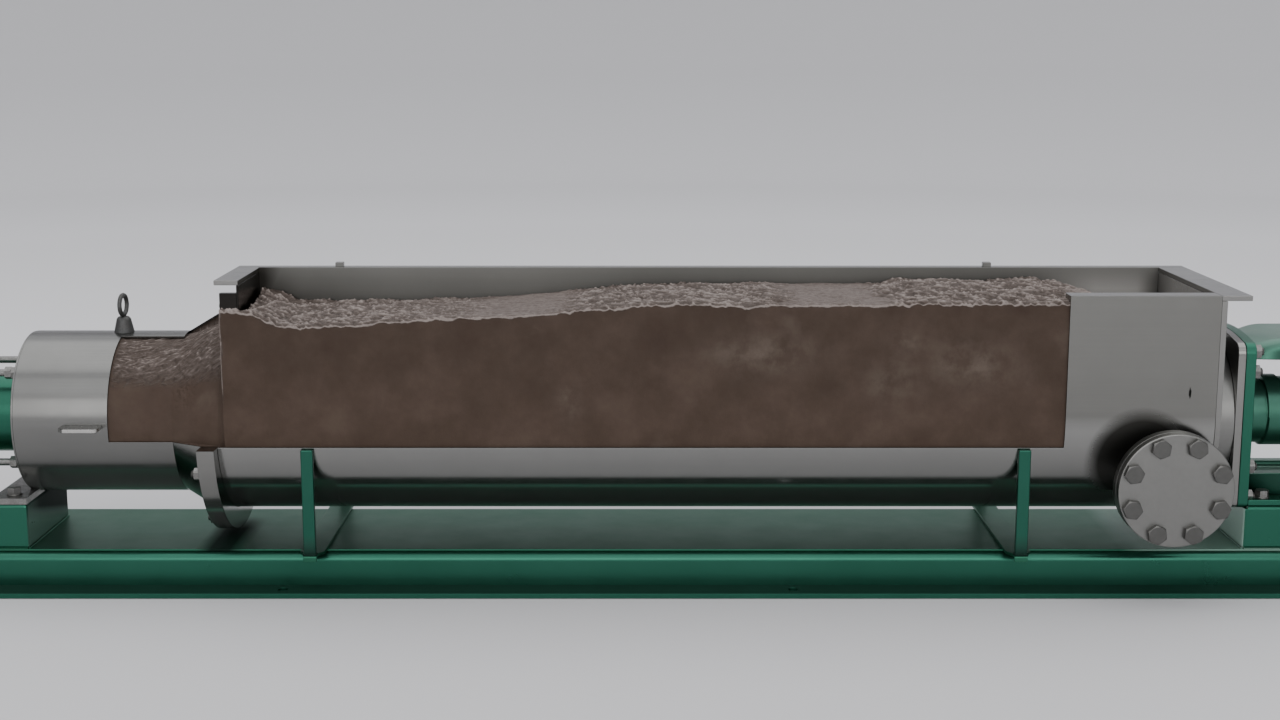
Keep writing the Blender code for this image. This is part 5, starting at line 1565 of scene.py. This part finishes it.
cake_piece("hopper_cake", *hopper_cake(), "sludge_in_hopper")

# %% The plug in the cone and the chamber
PLUG_LEFT, PLUG_RIGHT = -1.018, -0.6004
PLUG_RADIUS, CONE_FILL, END_FILL = 0.158, 0.1955, 0.190
CLIMB_X = -0.775


def plug(rows=240):
    """Radius follows the shells from the hopper to the end of the chamber. The bare upper part
    flows in folds up to 5 mm deep that climb to the right with the cone: s + f(x) is level
    along a fold, s being the arc walked down from the crown. Most columns lie there."""
    x = np.linspace(PLUG_RIGHT, PLUG_LEFT, rows)[:, None]
    shells = [CHAMBER_RIGHT, CONE_RIGHT, -0.6142, -0.6140], [PLUG_RADIUS, CONE_FILL, CONE_FILL, END_FILL]
    fitted = np.interp(x, *shells)
    t = ramped(x, CHAMBER_RIGHT - 0.012, -0.606)
    eased = PLUG_RADIUS + 0.033 * t * t * (3 - 2 * t)
    angle = np.radians(np.concatenate([np.linspace(84, 200, 300), np.linspace(200, 444, 102)[1:-1]]))[None, :]
    above = AXIS + fitted * np.sin(angle) > CUT_LEVEL - 0.002
    bare = (np.cos(angle) * fitted < CUT_PLANE + 0.004) * above
    radius = np.where(bare, np.minimum(eased, fitted), fitted)
    climb = 0.31 * ((x - CLIMB_X) + np.sqrt((x - CLIMB_X) ** 2 + 0.0009))
    arc = 0.16 * (angle - np.pi / 2)
    flow = spread(x / 0.026, (arc + climb) / 0.0095, 0.0)
    wrinkle = 0.75 * ridges(flow, 1.0, 23, 3) + 0.25 * ridges(flow * (0.4, 0.35, 1), 1.0, 29, 2)
    rough = ramped(-arc, -0.176, -0.126) * bare * ramped(x, CHAMBER_WINDOW, CHAMBER_WINDOW + 0.008)
    crown = np.clip(np.sin(angle), 0, 1) ** 6
    creases = np.exp(-(((x + 0.690) / 0.022) ** 2) - ((arc - 0.185) / 0.035) ** 2) * bare
    creases = creases * np.clip(ridges(flow * (4.0, 0.35, 1), 1.0, 67, 2), 0, 1)
    depth = rough * (0.0036 * np.clip(0.75 - wrinkle, 0, 1.3) + 0.0006 * crown) + 0.005 * creases
    grid = swung(x, radius - depth, angle, "X")
    crest = ramped(wrinkle, 0.14, 0.62) ** 1.5
    dry = 0.55 * np.exp(-(((grid[..., 0] + 0.815) / 0.030) ** 2) - ((grid[..., 2] - 0.475) / 0.022) ** 2)
    # The plug's crests get the painted highlight as well.
    return grid, np.clip(rough, 0, 1) * (0.20 + 0.60 * crest), (dry + 0.16) * bare


cake_piece("chamber_cake", *plug(), "sludge_in_chamber")

# %% [markdown]
# ## Floor, light and camera
#
# The photograph is a studio view: a pale sweep without a hard horizon, soft light from above
# and the front, and a long lens that looks about ten degrees down. The sweep is a wide bowl,
# so it is the same from every side.

# %% The sweep
BOWL = np.array([(0.0, 0.5), (0.0, 6.5), (0.15, 8.0), (0.9, 9.6), (2.4, 10.8), (4.6, 11.6), (7.5, 12.0)])
BOWL_ROWS, BOWL_STEPS, FLOOR = 60, 96, -0.001
# Painted light on the sweep: darker close to the pump and far out, lighter between.
SWEEP_PAINTED_LIGHT = ((0.0, (0.60, 0.594, 0.603)), (0.10, (0.60, 0.594, 0.603)), (0.27, (0.74, 0.734, 0.743)),
        (0.56, (0.76, 0.754, 0.763)), (0.72, (0.66, 0.654, 0.663)), (0.9, (0.56, 0.555, 0.563)))

share = np.linspace(0, 1, BOWL_ROWS)
level, radius = (np.interp(share, np.linspace(0, 1, len(BOWL)), column)[:, None] for column in BOWL.T)
angle = np.linspace(0, 2 * np.pi, BOWL_STEPS, endpoint=False)[None, :]
points = swung(level, radius, angle, "Z", (0, 0, FLOOR)).reshape(-1, 3)
index = np.arange(BOWL_ROWS * BOWL_STEPS).reshape(BOWL_ROWS, BOWL_STEPS)
middle = index[0, ::-1].tolist()
walls = cells(np.hstack([index, index[:, :1]])).reshape(-1, 4)
mesh = bpy.data.meshes.new("sweep")
mesh.from_pydata(points.tolist(), [], walls.tolist() + [middle])
mesh.shade_smooth()
sweep = bpy.data.objects.new("sweep", mesh)
bpy.context.scene.collection.objects.link(sweep)

material, tree, shader = new_finish("pale_sweep")
away = distance(tree, along(tree, "X"), along(tree, "Y"))
paler = ramp(tree, between(tree, away, 0.0, 12.0), *SWEEP_PAINTED_LIGHT)
connect(shader, Base_Color=paler, Roughness=0.9, Specular_IOR_Level=0.1)
mesh.materials.append(material)
print("sweep:", len(mesh.polygons), "faces")

# %% Light
world = bpy.data.worlds.new("studio")
bpy.context.scene.world = world
world.use_nodes = True
connect(world.node_tree.nodes["Background"], Color=(0.78, 0.79, 0.82, 1), Strength=1.3)


def softbox(name, place, look, size, power):
    """An area light at a place, aimed at a point."""
    light = bpy.data.lights.new(name, "AREA")
    light.shape = "RECTANGLE"
    light.size, light.size_y = size
    light.energy = power
    obj = bpy.data.objects.new(name, light)
    bpy.context.scene.collection.objects.link(obj)
    aim = np.asarray(look, float) - np.asarray(place, float)
    aim /= np.linalg.norm(aim)
    obj.location = place
    obj.rotation_euler = (np.arccos(-aim[2]), 0.0, np.arctan2(aim[1], aim[0]) - np.pi / 2)
    obj.visible_camera = False
    print(name, "of", power, "W")


softbox("top_light", (0.2, 0.8, 5.0), (0.2, 0.6, 0.0), (7.0, 5.6), 130)
softbox("front_light", (0.2, -5.0, 4.6), (0.2, 0.0, 0.3), (8.0, 4.0), 65)
softbox("low_light", (0.2, -6.0, 1.9), (0.2, 0.0, 0.3), (7.0, 2.6), 140)

# %% Camera
LOOKS_DOWN = 10.3
camera_data = bpy.data.cameras.new("view")
camera_data.lens = 50.0
camera_data.sensor_width = 36.0
camera_data.clip_end = 60.0
camera = bpy.data.objects.new("view", camera_data)
camera.location = (0.200, -3.546, 1.075)
camera.rotation_euler = (np.radians(90 - LOOKS_DOWN), 0.0, 0.0)
bpy.context.scene.collection.objects.link(camera)
bpy.context.scene.camera = camera
print("camera at", tuple(camera.location), "looks", LOOKS_DOWN, "degrees down")

# %% Count the pieces
print("pieces:", len(MADE))
